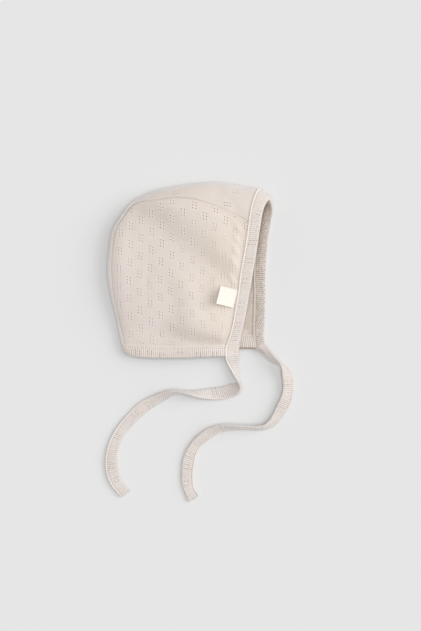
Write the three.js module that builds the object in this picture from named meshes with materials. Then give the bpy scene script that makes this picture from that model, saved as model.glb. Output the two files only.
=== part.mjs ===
// Baby bonnet of fine pointelle rib knit, lying on its side as it is put down.
//
// Frame: millimetres, +Z up. The bonnet lies on the plane z = 0 with its crown
// towards +Y, its face opening towards +X and its neck edge towards -Y. The
// origin is under the middle of the bonnet itself, without its two loose ties.
//
// The bonnet has three panels: a near side panel (on top as it lies), a far
// side panel (on the ground) and a centre panel that runs from the forehead
// over the crown and down the back to the nape between them. One folded rib
// strip binds the face edge and runs on as the two ties. A folded band closes
// the neck edge, and a small folded label is caught in the near binding seam.
import * as THREE from 'three';

// ---- sizes -----------------------------------------------------------------
const CLOTH = 1.5;        // side and centre panels, wall thickness
const STRIP = 2.6;        // face binding, four layers of rib knit
const BAND = 2.4;         // neck band, folded hem
const TIE = 2.4;          // ties, the same folded strip without the panel edge
const TAB = 1.0;          // folded label
const MIDDLE_X = 0.6;     // the tables' zero lies this far left of the bonnet's middle
const GAP = 0.3;          // how far each piece stands back from a seam line
const GROUND = CLOTH / 2; // mid-surface height of cloth that lies flat
const EDGE_ROUND = 0.55;  // share of a strip's thickness left at its edges

// steps along each stretch, shared by the pieces that meet there
const TOP_STEPS = 18;     // crown seam, from the back bend to the face
const BACK_STEPS = 18;    // back seam, from the nape to the back bend
const FACE_STEPS = 18;    // binding along a side panel
const WRAP_NEAR = 6;      // across the centre panel, upper half
const WRAP_FAR = 5;       // across the centre panel, lower half
const NECK_STEPS = 2;     // binding beside the neck band
const TIE_STEPS = 2;      // steps between two rows of a tie

// ---- centre panel: a row for each section, forehead to nape ------------------
// edge: outermost line of the section; near, far: its two seams;
// turn: how far the section has turned over, in degrees, at the near seam
const CROWN = [
  { at: 'face',      edgeX:  60.1, edgeY:  71.5, edgeZ: 11.5, nearX:  51.8, nearY:  42.2, nearZ: 20.2, farX:  63.0, farY:  51.0, farZ: 2.0, turn: 80 },
  { at: 'brow',      edgeX:  50.0, edgeY:  76.0, edgeZ: 11.0, nearX:  43.6, nearY:  47.3, nearZ: 20.8, farX:  49.4, farY:  54.9, farZ: 0.9, turn: 80 },
  { at: 'forehead',  edgeX:  35.6, edgeY:  78.7, edgeZ: 10.6, nearX:  28.9, nearY:  54.4, nearZ: 21.3, farX:  34.8, farY:  60.4, farZ: 0.9, turn: 78 },
  { at: 'front',     edgeX:  19.5, edgeY:  79.5, edgeZ: 10.3, nearX:  14.2, nearY:  59.8, nearZ: 21.3, farX:  19.5, farY:  63.4, farZ: 0.9, turn: 72 },
  { at: 'top',       edgeX:   1.6, edgeY:  77.9, edgeZ: 10.0, nearX:  -0.1, nearY:  63.2, nearZ: 20.8, farX:   2.9, farY:  63.6, farZ: 0.9, turn: 64 },
  { at: 'vertex',    edgeX: -16.3, edgeY:  74.5, edgeZ:  9.6, nearX: -14.8, nearY:  63.9, nearZ: 20.0, farX: -13.3, farY:  61.9, farZ: 0.9, turn: 56 },
  { at: 'crown',     edgeX: -31.5, edgeY:  70.5, edgeZ:  9.2, nearX: -30.0, nearY:  62.2, nearZ: 18.6, farX: -26.8, farY:  58.7, farZ: 0.9, turn: 50 },
  { at: 'shoulder',  edgeX: -44.1, edgeY:  65.4, edgeZ:  8.8, nearX: -42.1, nearY:  60.9, nearZ: 16.0, farX: -37.6, farY:  54.2, farZ: 0.9, turn: 42 },
  { at: 'bend',      edgeX: -53.1, edgeY:  59.7, edgeZ:  8.5, nearX: -51.1, nearY:  58.0, nearZ: 13.6, farX: -44.8, farY:  48.8, farZ: 0.9, turn: 35 },
  { at: 'turn',      edgeX: -61.1, edgeY:  49.8, edgeZ:  8.2, nearX: -59.2, nearY:  48.4, nearZ: 13.2, farX: -51.1, farY:  40.7, farZ: 0.9, turn: 33 },
  { at: 'back_top',  edgeX: -69.0, edgeY:  35.5, edgeZ:  7.9, nearX: -66.7, nearY:  34.8, nearZ: 13.0, farX: -56.0, farY:  29.5, farZ: 0.9, turn: 33 },
  { at: 'back',      edgeX: -71.9, edgeY:  17.6, edgeZ:  7.5, nearX: -69.6, nearY:  17.3, nearZ: 12.6, farX: -58.3, farY:  15.5, farZ: 0.9, turn: 33 },
  { at: 'back_low',  edgeX: -72.9, edgeY:  -2.1, edgeZ:  7.0, nearX: -70.1, nearY:  -2.2, nearZ: 12.0, farX: -58.7, farY:  -2.0, farZ: 0.9, turn: 35 },
  { at: 'nape_top',  edgeX: -71.4, edgeY: -20.9, edgeZ:  6.4, nearX: -68.6, nearY: -20.6, nearZ: 11.0, farX: -56.9, farY: -19.1, farZ: 0.9, turn: 36 },
  { at: 'nape',      edgeX: -68.1, edgeY: -38.0, edgeZ:  5.6, nearX: -65.2, nearY: -37.5, nearZ:  9.6, farX: -53.8, farY: -34.8, farZ: 0.9, turn: 38 },
  { at: 'neck_top',  edgeX: -64.5, edgeY: -52.4, edgeZ:  4.8, nearX: -61.9, nearY: -52.3, nearZ:  8.0, farX: -50.6, farY: -47.4, farZ: 0.9, turn: 40 },
  { at: 'neck',      edgeX: -61.7, edgeY: -64.5, edgeZ:  4.0, nearX: -58.9, nearY: -67.8, nearZ:  6.2, farX: -47.5, farY: -60.0, farZ: 1.8, turn: 45 },
];

// ---- face binding: a row for each section, near tie over the crown to far tie -
// seam: the edge sewn over the panels; free: the edge at the face opening
const BINDING = [
  { at: 'near_end',    seamX: 31.4, seamY: -78.4, seamZ:  6.4, freeX: 43.5, freeY: -78.8, freeZ:  4.4 },
  { at: 'near_neck',   seamX: 31.5, seamY: -69.4, seamZ:  7.2, freeX: 43.7, freeY: -69.4, freeZ:  6.2 },
  { at: 'near_jaw',    seamX: 34.2, seamY: -61.3, seamZ:  8.6, freeX: 45.2, freeY: -60.4, freeZ:  8.0 },
  { at: 'near_ear',    seamX: 36.9, seamY: -52.3, seamZ: 10.0, freeX: 47.2, freeY: -52.3, freeZ:  9.8 },
  { at: 'near_cheek',  seamX: 39.4, seamY: -38.9, seamZ: 12.2, freeX: 50.1, freeY: -38.4, freeZ: 12.0 },
  { at: 'near_low',    seamX: 42.1, seamY: -22.8, seamZ: 14.4, freeX: 52.9, freeY: -21.9, freeZ: 14.4 },
  { at: 'near_mid',    seamX: 44.3, seamY:  -5.0, seamZ: 16.2, freeX: 55.8, freeY:  -5.0, freeZ: 16.2 },
  { at: 'near_high',   seamX: 47.2, seamY:  11.9, seamZ: 17.6, freeX: 58.4, freeY:  11.1, freeZ: 17.6 },
  { at: 'near_upper',  seamX: 49.7, seamY:  26.2, seamZ: 18.8, freeX: 60.6, freeY:  25.7, freeZ: 18.8 },
  { at: 'near_temple', seamX: 51.8, seamY:  42.2, seamZ: 20.2, freeX: 62.9, freeY:  40.4, freeZ: 20.0 },
  { at: 'near_brow',   seamX: 53.7, seamY:  54.7, seamZ: 20.0, freeX: 65.0, freeY:  51.6, freeZ: 20.0 },
  { at: 'near_fold',   seamX: 56.5, seamY:  64.2, seamZ: 17.4, freeX: 67.7, freeY:  58.8, freeZ: 18.4 },
  { at: 'fold',        seamX: 60.1, seamY:  71.5, seamZ: 11.5, freeX: 71.4, freeY:  62.8, freeZ: 13.2 },
  { at: 'far_fold',    seamX: 63.0, seamY:  68.5, seamZ:  5.4, freeX: 73.3, freeY:  58.5, freeZ:  7.6 },
  { at: 'far_brow',    seamX: 63.8, seamY:  60.9, seamZ:  2.6, freeX: 73.8, freeY:  52.4, freeZ:  3.8 },
  { at: 'far_temple',  seamX: 63.0, seamY:  51.0, seamZ:  2.0, freeX: 73.3, freeY:  44.3, freeZ:  2.6 },
  { at: 'far_upper',   seamX: 60.9, seamY:  30.4, seamZ:  1.9, freeX: 71.0, freeY:  27.6, freeZ:  2.1 },
  { at: 'far_high',    seamX: 59.0, seamY:  12.4, seamZ:  1.9, freeX: 68.8, freeY:  11.5, freeZ:  1.9 },
  { at: 'far_mid',     seamX: 57.7, seamY:  -4.7, seamZ:  1.9, freeX: 67.7, freeY:  -4.7, freeZ:  1.9 },
  { at: 'far_low',     seamX: 56.9, seamY: -22.7, seamZ:  1.9, freeX: 67.0, freeY: -22.7, freeZ:  1.9 },
  { at: 'far_cheek',   seamX: 56.4, seamY: -39.8, seamZ:  1.9, freeX: 66.3, freeY: -39.8, freeZ:  1.9 },
  { at: 'far_ear',     seamX: 56.0, seamY: -53.3, seamZ:  1.9, freeX: 65.4, freeY: -52.9, freeZ:  1.9 },
  { at: 'far_neck',    seamX: 56.3, seamY: -60.5, seamZ:  1.9, freeX: 65.2, freeY: -59.6, freeZ:  1.9 },
  { at: 'far_end',     seamX: 58.1, seamY: -69.6, seamZ:  1.9, freeX: 66.8, freeY: -65.9, freeZ:  1.9 },
];

// ---- neck band: a row for each section, near binding round the nape to far ----
const NECK = [
  { at: 'near_front', seamX:  31.5, seamY: -69.4, seamZ: 7.2, freeX:  31.4, freeY: -77.8, freeZ: 6.4 },
  { at: 'near_ear',   seamX:  15.9, seamY: -69.5, seamZ: 9.0, freeX:  15.8, freeY: -78.2, freeZ: 8.0 },
  { at: 'near_mid',   seamX:  -7.3, seamY: -70.1, seamZ: 9.8, freeX:  -7.4, freeY: -79.2, freeZ: 8.6 },
  { at: 'near_back',  seamX: -30.6, seamY: -69.9, seamZ: 9.2, freeX: -30.7, freeY: -79.2, freeZ: 8.4 },
  { at: 'near_nape',  seamX: -48.6, seamY: -69.2, seamZ: 7.8, freeX: -48.1, freeY: -78.2, freeZ: 6.8 },
  { at: 'nape_in',    seamX: -58.9, seamY: -67.8, seamZ: 6.2, freeX: -56.3, freeY: -75.9, freeZ: 4.8 },
  { at: 'nape_edge',  seamX: -61.7, seamY: -64.5, seamZ: 4.0, freeX: -59.0, freeY: -72.7, freeZ: 3.4 },
  { at: 'nape_out',   seamX: -56.9, seamY: -61.2, seamZ: 2.0, freeX: -54.4, freeY: -69.3, freeZ: 1.9 },
  { at: 'far_nape',   seamX: -47.5, seamY: -60.0, seamZ: 1.8, freeX: -46.5, freeY: -68.7, freeZ: 1.8 },
  { at: 'far_back',   seamX: -27.2, seamY: -60.6, seamZ: 1.8, freeX: -27.2, freeY: -69.5, freeZ: 1.8 },
  { at: 'far_mid',    seamX:   1.5, seamY: -61.0, seamZ: 1.8, freeX:   1.5, freeY: -70.0, freeZ: 1.8 },
  { at: 'far_ear',    seamX:  32.1, seamY: -61.0, seamZ: 1.8, freeX:  32.1, freeY: -70.0, freeZ: 1.8 },
  { at: 'far_front',  seamX:  56.3, seamY: -60.5, seamZ: 1.9, freeX:  57.8, freeY: -69.3, freeZ: 1.9 },
];

// ---- ties: a row for each section, from the binding to the cut end ------------
// A row whose two edges differ much in height stands on edge: the tie twists there.
const TIE_NEAR = [
  { seamX:  31.6, seamY:  -79.0, seamZ:  6.4, freeX:  43.5, freeY:  -79.6, freeZ:  4.0 },
  { seamX:  34.3, seamY:  -84.4, seamZ:  7.4, freeX:  43.8, freeY:  -85.4, freeZ:  2.4 },
  { seamX:  38.4, seamY:  -91.3, seamZ:  9.0, freeX:  44.3, freeY:  -91.0, freeZ:  1.7 },
  { seamX:  42.8, seamY:  -98.9, seamZ: 11.0, freeX:  44.2, freeY:  -97.3, freeZ:  1.7 },
  { seamX:  45.3, seamY: -104.4, seamZ: 12.0, freeX:  43.1, freeY: -101.2, freeZ:  1.7 },
  { seamX:  45.5, seamY: -108.4, seamZ: 10.6, freeX:  40.5, freeY: -101.9, freeZ:  1.7 },
  { seamX:  43.2, seamY: -111.5, seamZ:  7.6, freeX:  36.3, freeY: -102.7, freeZ:  1.6 },
  { seamX:  37.5, seamY: -114.5, seamZ:  4.0, freeX:  31.8, freeY: -104.2, freeZ:  1.5 },
  { seamX:  28.5, seamY: -116.6, seamZ:  2.0, freeX:  25.3, freeY: -105.3, freeZ:  1.5 },
  { seamX:  16.5, seamY: -116.5, seamZ:  4.6, freeX:  14.7, freeY: -106.9, freeZ:  1.6 },
  { seamX:   6.6, seamY: -114.4, seamZ:  8.8, freeX:   4.8, freeY: -108.3, freeZ:  1.7 },
  { seamX:  -1.4, seamY: -111.5, seamZ: 11.8, freeX:  -3.5, freeY: -109.2, freeZ:  1.7 },
  { seamX:  -8.7, seamY: -109.2, seamZ: 12.4, freeX: -10.0, freeY: -111.0, freeZ:  1.7 },
  { seamX: -16.5, seamY: -108.2, seamZ: 11.2, freeX: -16.1, freeY: -113.2, freeZ:  1.7 },
  { seamX: -24.0, seamY: -109.5, seamZ:  8.4, freeX: -22.9, freeY: -117.3, freeZ:  1.6 },
  { seamX: -31.1, seamY: -112.0, seamZ:  5.0, freeX: -28.5, freeY: -120.5, freeZ:  1.5 },
  { seamX: -38.5, seamY: -115.3, seamZ:  2.8, freeX: -33.7, freeY: -123.8, freeZ:  1.5 },
  { seamX: -46.7, seamY: -120.2, seamZ:  1.9, freeX: -40.2, freeY: -128.8, freeZ:  1.5 },
  { seamX: -55.3, seamY: -128.6, seamZ:  1.7, freeX: -47.7, freeY: -135.8, freeZ:  1.5 },
  { seamX: -63.6, seamY: -138.0, seamZ:  1.7, freeX: -54.9, freeY: -143.6, freeZ:  1.5 },
  { seamX: -70.4, seamY: -148.4, seamZ:  1.7, freeX: -61.1, freeY: -152.2, freeZ:  1.5 },
  { seamX: -74.7, seamY: -159.6, seamZ:  1.7, freeX: -64.8, freeY: -161.5, freeZ:  1.5 },
  { seamX: -76.7, seamY: -171.1, seamZ:  1.7, freeX: -66.3, freeY: -171.4, freeZ:  1.5 },
  { seamX: -75.9, seamY: -182.1, seamZ:  1.7, freeX: -65.5, freeY: -179.9, freeZ:  1.5 },
  { seamX: -72.6, seamY: -191.8, seamZ:  1.7, freeX: -62.7, freeY: -187.6, freeZ:  1.5 },
  { seamX: -67.5, seamY: -198.8, seamZ:  1.7, freeX: -58.5, freeY: -193.4, freeZ:  1.5 },
  { seamX: -62.7, seamY: -204.2, seamZ:  1.7, freeX: -54.0, freeY: -197.9, freeZ:  1.5 },
];
const TIE_FAR = [
  { seamX:  58.5, seamY:  -70.3, seamZ:  1.9, freeX:  67.2, freeY:  -66.6, freeZ:  2.0 },
  { seamX:  62.4, seamY:  -75.3, seamZ:  1.8, freeX:  70.1, freeY:  -71.1, freeZ:  4.4 },
  { seamX:  68.1, seamY:  -80.1, seamZ:  1.8, freeX:  73.3, freeY:  -75.1, freeZ:  8.2 },
  { seamX:  73.8, seamY:  -83.3, seamZ:  1.8, freeX:  77.5, freeY:  -79.9, freeZ: 10.6 },
  { seamX:  79.6, seamY:  -85.6, seamZ:  1.8, freeX:  80.9, freeY:  -84.3, freeZ: 11.8 },
  { seamX:  84.8, seamY:  -87.4, seamZ:  1.8, freeX:  82.2, freeY:  -88.5, freeZ: 11.8 },
  { seamX:  88.6, seamY:  -91.0, seamZ:  1.8, freeX:  82.6, freeY:  -92.6, freeZ: 10.2 },
  { seamX:  90.7, seamY:  -96.1, seamZ:  1.8, freeX:  83.1, freeY:  -96.9, freeZ:  9.0 },
  { seamX:  91.3, seamY: -102.4, seamZ:  1.8, freeX:  83.9, freeY: -102.3, freeZ:  8.8 },
  { seamX:  90.6, seamY: -109.2, seamZ:  1.8, freeX:  83.3, freeY: -108.6, freeZ:  8.8 },
  { seamX:  89.3, seamY: -116.8, seamZ:  1.8, freeX:  81.3, freeY: -114.9, freeZ:  7.6 },
  { seamX:  86.6, seamY: -124.7, seamZ:  1.8, freeX:  77.7, freeY: -121.5, freeZ:  5.6 },
  { seamX:  81.8, seamY: -132.0, seamZ:  1.8, freeX:  73.6, freeY: -127.8, freeZ:  5.2 },
  { seamX:  75.6, seamY: -138.9, seamZ:  1.8, freeX:  69.0, freeY: -133.8, freeZ:  7.0 },
  { seamX:  67.9, seamY: -143.0, seamZ:  1.8, freeX:  64.3, freeY: -138.8, freeZ:  9.8 },
  { seamX:  59.1, seamY: -143.4, seamZ:  1.8, freeX:  57.3, freeY: -140.0, freeZ: 11.4 },
  { seamX:  50.1, seamY: -143.2, seamZ:  1.8, freeX:  49.4, freeY: -140.2, freeZ: 11.8 },
  { seamX:  41.5, seamY: -143.4, seamZ:  1.8, freeX:  41.0, freeY: -139.8, freeZ: 11.4 },
  { seamX:  33.6, seamY: -144.3, seamZ:  1.8, freeX:  32.6, freeY: -139.0, freeZ: 10.2 },
  { seamX:  26.2, seamY: -146.7, seamZ:  1.8, freeX:  23.5, freeY: -139.8, freeZ:  8.2 },
  { seamX:  18.5, seamY: -151.8, seamZ:  1.8, freeX:  13.2, freeY: -143.9, freeZ:  5.0 },
  { seamX:  10.7, seamY: -158.2, seamZ:  1.7, freeX:   4.0, freeY: -151.5, freeZ:  3.2 },
  { seamX:   5.9, seamY: -165.5, seamZ:  1.6, freeX:  -3.0, freeY: -161.0, freeZ:  2.2 },
  { seamX:   3.3, seamY: -173.6, seamZ:  1.5, freeX:  -6.4, freeY: -170.7, freeZ:  1.8 },
  { seamX:   2.0, seamY: -181.9, seamZ:  1.5, freeX:  -7.3, freeY: -180.2, freeZ:  1.7 },
  { seamX:   2.3, seamY: -189.7, seamZ:  1.5, freeX:  -7.4, freeY: -190.0, freeZ:  1.7 },
  { seamX:   3.8, seamY: -196.3, seamZ:  1.5, freeX:  -6.1, freeY: -197.9, freeZ:  1.7 },
  { seamX:   7.5, seamY: -202.2, seamZ:  1.5, freeX:  -1.7, freeY: -208.8, freeZ:  1.7 },
];

// ---- near side panel: how far it stands above the surface its edges span -----
// a row for each height (0 neck, 1 crown); columns from the back to the face
const RISE = [
  { up: 0.00, back: 0, shoulder: 0.0, rear: 0.0, quarter: 0.0, middle: 0.0, front: 0.0, face: 0 },
  { up: 0.08, back: 0, shoulder: 0.4, rear: 0.7, quarter: 0.7, middle: 0.6, front: 0.3, face: 0 },
  { up: 0.20, back: 0, shoulder: 1.2, rear: 1.8, quarter: 1.9, middle: 1.3, front: 0.6, face: 0 },
  { up: 0.35, back: 0, shoulder: 1.8, rear: 2.8, quarter: 3.3, middle: 2.7, front: 1.3, face: 0 },
  { up: 0.55, back: 0, shoulder: 2.0, rear: 3.2, quarter: 4.0, middle: 3.5, front: 1.8, face: 0 },
  { up: 0.75, back: 0, shoulder: 1.9, rear: 3.0, quarter: 3.6, middle: 3.2, front: 1.8, face: 0 },
  { up: 0.90, back: 0, shoulder: 1.1, rear: 1.9, quarter: 2.2, middle: 1.8, front: 1.0, face: 0 },
  { up: 1.00, back: 0, shoulder: 0.0, rear: 0.0, quarter: 0.0, middle: 0.0, front: 0.0, face: 0 },
];
const RISE_ACROSS = { back: 0, shoulder: 0.06, rear: 0.15, quarter: 0.30, middle: 0.55, front: 0.80, face: 1 };

// soft folds and swells of the near side panel: middle, direction (degrees
// from +X), half length along it, half width across it, height
const FOLDS = [
  { at: 'ear_valley',    x:  31, y:   8, dir: -45, along: 22, across: 7,  height: -2.2 },
  { at: 'crown_hollow',  x: -12, y:  38, dir:  20, along: 20, across: 13, height: -1.6 },
  { at: 'neck_fold',     x:   6, y: -62, dir:   0, along: 26, across: 6,  height: -1.6 },
  { at: 'back_swell',    x: -52, y:   6, dir:  90, along: 26, across: 11, height:  1.0 },
  { at: 'cheek_swell',   x:   0, y: -12, dir:  80, along: 20, across: 14, height:  1.2 },
];

// ---- label: centre, size, turn in the plane (degrees), set in the binding seam -
const LABEL = { x: 32.9, y: -24.6, width: 15.4, height: 16.7, turn: -14.5, lift: 0.5, steps: 5 };

// ---- small vector helpers -------------------------------------------------------
const V = (x, y, z) => new THREE.Vector3(x, y, z);
const mix = (a, b, t) => a.clone().lerp(b, t);
const smooth = (t) => { const s = Math.min(1, Math.max(0, t)); return s * s * (3 - 2 * s); };
const range = (n) => Array.from({ length: n + 1 }, (_, i) => i / n);

// a smooth curve through the rows' points, run by its own chord length
function line(rows, name, from = null, to = null) {
  const start = from === null ? 0 : rows.findIndex((r) => r.at === from);
  const end = to === null ? rows.length - 1 : rows.findIndex((r) => r.at === to);
  const pts = rows.map((r) => V(r[name + 'X'], r[name + 'Y'], r[name + 'Z']));
  const at = [0];
  for (let i = 1; i < pts.length; i++) at.push(at[i - 1] + pts[i].distanceTo(pts[i - 1]));
  const slope = pts.map((_, i) => {
    const a = Math.max(0, i - 1), b = Math.min(pts.length - 1, i + 1);
    return pts[b].clone().sub(pts[a]).divideScalar(at[b] - at[a]);
  });
  const on = (s) => {
    let i = 0;
    while (i < pts.length - 2 && s > at[i + 1]) i++;
    const h = at[i + 1] - at[i], t = (s - at[i]) / h, t2 = t * t, t3 = t2 * t;
    return pts[i].clone().multiplyScalar(2 * t3 - 3 * t2 + 1)
      .addScaledVector(slope[i], h * (t3 - 2 * t2 + t))
      .addScaledVector(pts[i + 1], -2 * t3 + 3 * t2)
      .addScaledVector(slope[i + 1], h * (t3 - t2));
  };
  return (t) => on(at[start] + (at[end] - at[start]) * t);
}

// smooth interpolation in a small table of numbers at given stations
function track(stations, values, t) {
  const n = stations.length;
  let i = 0;
  while (i < n - 2 && t > stations[i + 1]) i++;
  const h = stations[i + 1] - stations[i], u = Math.min(1, Math.max(0, (t - stations[i]) / h));
  const tangent = (k) => {
    const a = Math.max(0, k - 1), b = Math.min(n - 1, k + 1);
    return (values[b] - values[a]) / (stations[b] - stations[a]);
  };
  const u2 = u * u, u3 = u2 * u;
  return values[i] * (2 * u3 - 3 * u2 + 1) + tangent(i) * h * (u3 - 2 * u2 + u)
    + values[i + 1] * (-2 * u3 + 3 * u2) + tangent(i + 1) * h * (u3 - u2);
}

// a surface spanned by its four edges; every edge runs 0..1 left to right or up
function span(bottom, top, left, right, u, v) {
  const c00 = bottom(0), c10 = bottom(1), c01 = top(0), c11 = top(1);
  const across = mix(left(v), right(v), u), up = mix(bottom(u), top(u), v);
  const corners = mix(mix(c00, c10, u), mix(c01, c11, u), v);
  return across.add(up).sub(corners);
}

// ---- solids ------------------------------------------------------------------------
function solid(name, positions, triangles, color) {
  const geometry = new THREE.BufferGeometry();
  geometry.setAttribute('position', new THREE.Float32BufferAttribute(positions.flatMap((p) => [p.x, p.y, p.z]), 3));
  geometry.setIndex(triangles);
  geometry.computeVertexNormals();
  const mesh = new THREE.Mesh(geometry, new THREE.MeshStandardMaterial({ color, roughness: 0.92, metalness: 0 }));
  mesh.name = name;
  return mesh;
}

// a wall of even thickness on a grid of mid-surface points; the grid's rows and
// columns turn the outside the way (next column) x (next row) points
function wall(name, grid, thickness, color) {
  const rows = grid.length, cols = grid[0].length, positions = [], triangles = [];
  const at = (i, j) => grid[Math.min(rows - 1, Math.max(0, i))][Math.min(cols - 1, Math.max(0, j))];
  const outside = (i, j) => at(i, j + 1).clone().sub(at(i, j - 1)).cross(at(i + 1, j).clone().sub(at(i - 1, j))).normalize();
  for (const side of [1, -1]) {
    for (let i = 0; i < rows; i++) for (let j = 0; j < cols; j++) {
      positions.push(grid[i][j].clone().addScaledVector(outside(i, j), side * thickness / 2));
    }
  }
  const id = (side, i, j) => (side > 0 ? 0 : rows * cols) + i * cols + j;
  const quad = (a, b, c, d) => triangles.push(a, b, c, a, c, d);
  for (let i = 0; i < rows - 1; i++) for (let j = 0; j < cols - 1; j++) {
    quad(id(1, i, j), id(1, i, j + 1), id(1, i + 1, j + 1), id(1, i + 1, j));
    quad(id(-1, i, j), id(-1, i + 1, j), id(-1, i + 1, j + 1), id(-1, i, j + 1));
  }
  for (let j = 0; j < cols - 1; j++) {
    quad(id(1, 0, j), id(-1, 0, j), id(-1, 0, j + 1), id(1, 0, j + 1));
    quad(id(1, rows - 1, j), id(1, rows - 1, j + 1), id(-1, rows - 1, j + 1), id(-1, rows - 1, j));
  }
  for (let i = 0; i < rows - 1; i++) {
    quad(id(1, i, 0), id(1, i + 1, 0), id(-1, i + 1, 0), id(-1, i, 0));
    quad(id(1, i, cols - 1), id(-1, i, cols - 1), id(-1, i + 1, cols - 1), id(1, i + 1, cols - 1));
  }
  return solid(name, positions, triangles, color);
}

// draw the grid's outermost rows and columns back from their seam lines
function drawBack(grid, { first = 0, last = 0, start = 0, end = 0 }) {
  const rows = grid.length, cols = grid[0].length;
  const shift = (p, q, by) => p.clone().addScaledVector(q.clone().sub(p).normalize(), by);
  let out = grid.map((row) => row.map((p) => p.clone()));
  if (first) out[0] = out[0].map((p, j) => shift(p, grid[1][j], first));
  if (last) out[rows - 1] = out[rows - 1].map((p, j) => shift(p, grid[rows - 2][j], last));
  const wide = out;
  out = wide.map((row) => row.map((p) => p.clone()));
  for (let i = 0; i < rows; i++) {
    if (start) out[i][0] = shift(wide[i][0], wide[i][1], start);
    if (end) out[i][cols - 1] = shift(wide[i][cols - 1], wide[i][cols - 2], end);
  }
  return out;
}

// a flat strip between two lines, full in the middle and thinner at its edges
function strip(name, sections, thickness, color, profile = [0, 0.14, 0.86, 1]) {
  const n = sections.length, positions = [], triangles = [];
  const ring = [];
  for (let i = 0; i < n; i++) {
    const a = sections[Math.max(0, i - 1)], b = sections[Math.min(n - 1, i + 1)];
    const along = mix(b.seam, b.free, 0.5).sub(mix(a.seam, a.free, 0.5));
    const width = sections[i].free.clone().sub(sections[i].seam);
    const up = width.clone().cross(along).normalize();
    for (const side of [1, -1]) {
      const order = side > 0 ? profile : [...profile].reverse();
      for (const w of order) {
        const thin = w === 0 || w === 1 ? EDGE_ROUND : 1;
        positions.push(mix(sections[i].seam, sections[i].free, w).addScaledVector(up, side * thin * thickness / 2));
      }
    }
    ring.push(i * profile.length * 2);
  }
  const m = profile.length * 2;
  for (let i = 0; i < n - 1; i++) for (let k = 0; k < m; k++) {
    const a = ring[i] + k, b = ring[i] + (k + 1) % m, c = ring[i + 1] + (k + 1) % m, d = ring[i + 1] + k;
    triangles.push(a, b, c, a, c, d);
  }
  for (let k = 1; k < m - 1; k++) {
    triangles.push(ring[0], ring[0] + k + 1, ring[0] + k);
    triangles.push(ring[n - 1], ring[n - 1] + k, ring[n - 1] + k + 1);
  }
  return solid(name, positions, triangles, color);
}

// ---- lines shared by the pieces ------------------------------------------------------
const edgeLine = line(CROWN, 'edge');
const nearSeam = line(CROWN, 'near');
const farSeam = line(CROWN, 'far');
const nearTop = line(CROWN, 'near', 'bend', 'face'), nearBack = line(CROWN, 'near', 'neck', 'bend');
const farTop = line(CROWN, 'far', 'bend', 'face'), farBack = line(CROWN, 'far', 'neck', 'bend');
const edgeTop = line(CROWN, 'edge', 'bend', 'face'), edgeBack = line(CROWN, 'edge', 'neck', 'bend');
const faceNear = line(BINDING, 'seam', 'near_neck', 'near_temple');
const faceFar = line(BINDING, 'seam', 'far_neck', 'far_temple');
const neckNear = line(NECK, 'seam', 'nape_in', 'near_front');
const neckFar = line(NECK, 'seam', 'far_nape', 'far_front');
const neckNape = line(NECK, 'seam', 'nape_in', 'far_nape');
const faceCrown = line(BINDING, 'seam', 'near_temple', 'far_temple');

// ---- side panels -----------------------------------------------------------------------
function rise(u, v) {
  const columns = Object.keys(RISE_ACROSS), at = Object.values(RISE_ACROSS);
  const byRow = RISE.map((row) => track(at, columns.map((c) => row[c]), u));
  return track(RISE.map((row) => row.up), byRow, v);
}
function fold(p, u, v) {
  const edges = smooth(u / 0.08) * smooth((1 - u) / 0.08) * smooth(v / 0.08) * smooth((1 - v) / 0.08);
  let dz = 0;
  for (const f of FOLDS) {
    const a = THREE.MathUtils.degToRad(f.dir), dx = p.x - f.x, dy = p.y - f.y;
    const l = (dx * Math.cos(a) + dy * Math.sin(a)) / f.along, w = (-dx * Math.sin(a) + dy * Math.cos(a)) / f.across;
    dz += f.height * Math.exp(-l * l - w * w);
  }
  return dz * edges;
}
const nearGrid = range(BACK_STEPS).map((v) => range(TOP_STEPS).map((u) => {
  const p = span(neckNear, nearTop, nearBack, faceNear, u, v);
  p.z += rise(u, v) + fold(p, u, v);
  return p;
}));
const farGrid = range(BACK_STEPS).map((v) => range(TOP_STEPS).map((u) => {
  const p = span(neckFar, farTop, farBack, faceFar, u, v);
  const inside = Math.min(u, 1 - u, v, 1 - v) * TOP_STEPS;      // rings in from the edge
  p.z = inside >= 1.5 ? GROUND : inside > 0.5 ? GROUND + (p.z - GROUND) * 0.2 : p.z;
  return p;
}));

// ---- centre panel: wraps from the near seam over the edge to the far seam -----------------
function section(edge, near, far, turn) {
  const inward = mix(near, far, 0.5).sub(edge).setZ(0).normalize();
  const out = edge.clone().addScaledVector(inward, CLOTH / 2);
  const points = [];
  for (let k = WRAP_NEAR; k > 0; k--) {
    const a = turn * k / WRAP_NEAR, d = (1 - Math.cos(a)) / (1 - Math.cos(turn));
    const p = mix(out, near, d);
    p.z = out.z + (near.z - out.z) * Math.sin(a) / Math.sin(turn);
    points.push(p);
  }
  for (let k = 0; k <= WRAP_FAR; k++) {
    const a = Math.PI / 2 * k / WRAP_FAR;
    const p = mix(out, far, 1 - Math.cos(a));
    p.z = out.z - (out.z - far.z) * Math.sin(a);
    points.push(p);
  }
  return points;
}
const turnAlong = [];
{
  const stations = [0];
  for (let i = 1; i < CROWN.length; i++) {
    const a = CROWN[i - 1], b = CROWN[i];
    stations.push(stations[i - 1] + Math.hypot(b.edgeX - a.edgeX, b.edgeY - a.edgeY));
  }
  turnAlong.push(stations, CROWN.map((r) => r.turn));
}
const bendRow = CROWN.findIndex((r) => r.at === 'bend');
const stationOf = (row) => turnAlong[0][row];
const crownGrid = [];
for (const t of range(TOP_STEPS)) {       // face (t = 0) to bend (t = 1)
  const s = stationOf(bendRow) * t;
  const turn = THREE.MathUtils.degToRad(track(turnAlong[0], turnAlong[1], s));
  crownGrid.push(section(edgeTop(1 - t), nearTop(1 - t), farTop(1 - t), turn));
}
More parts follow.
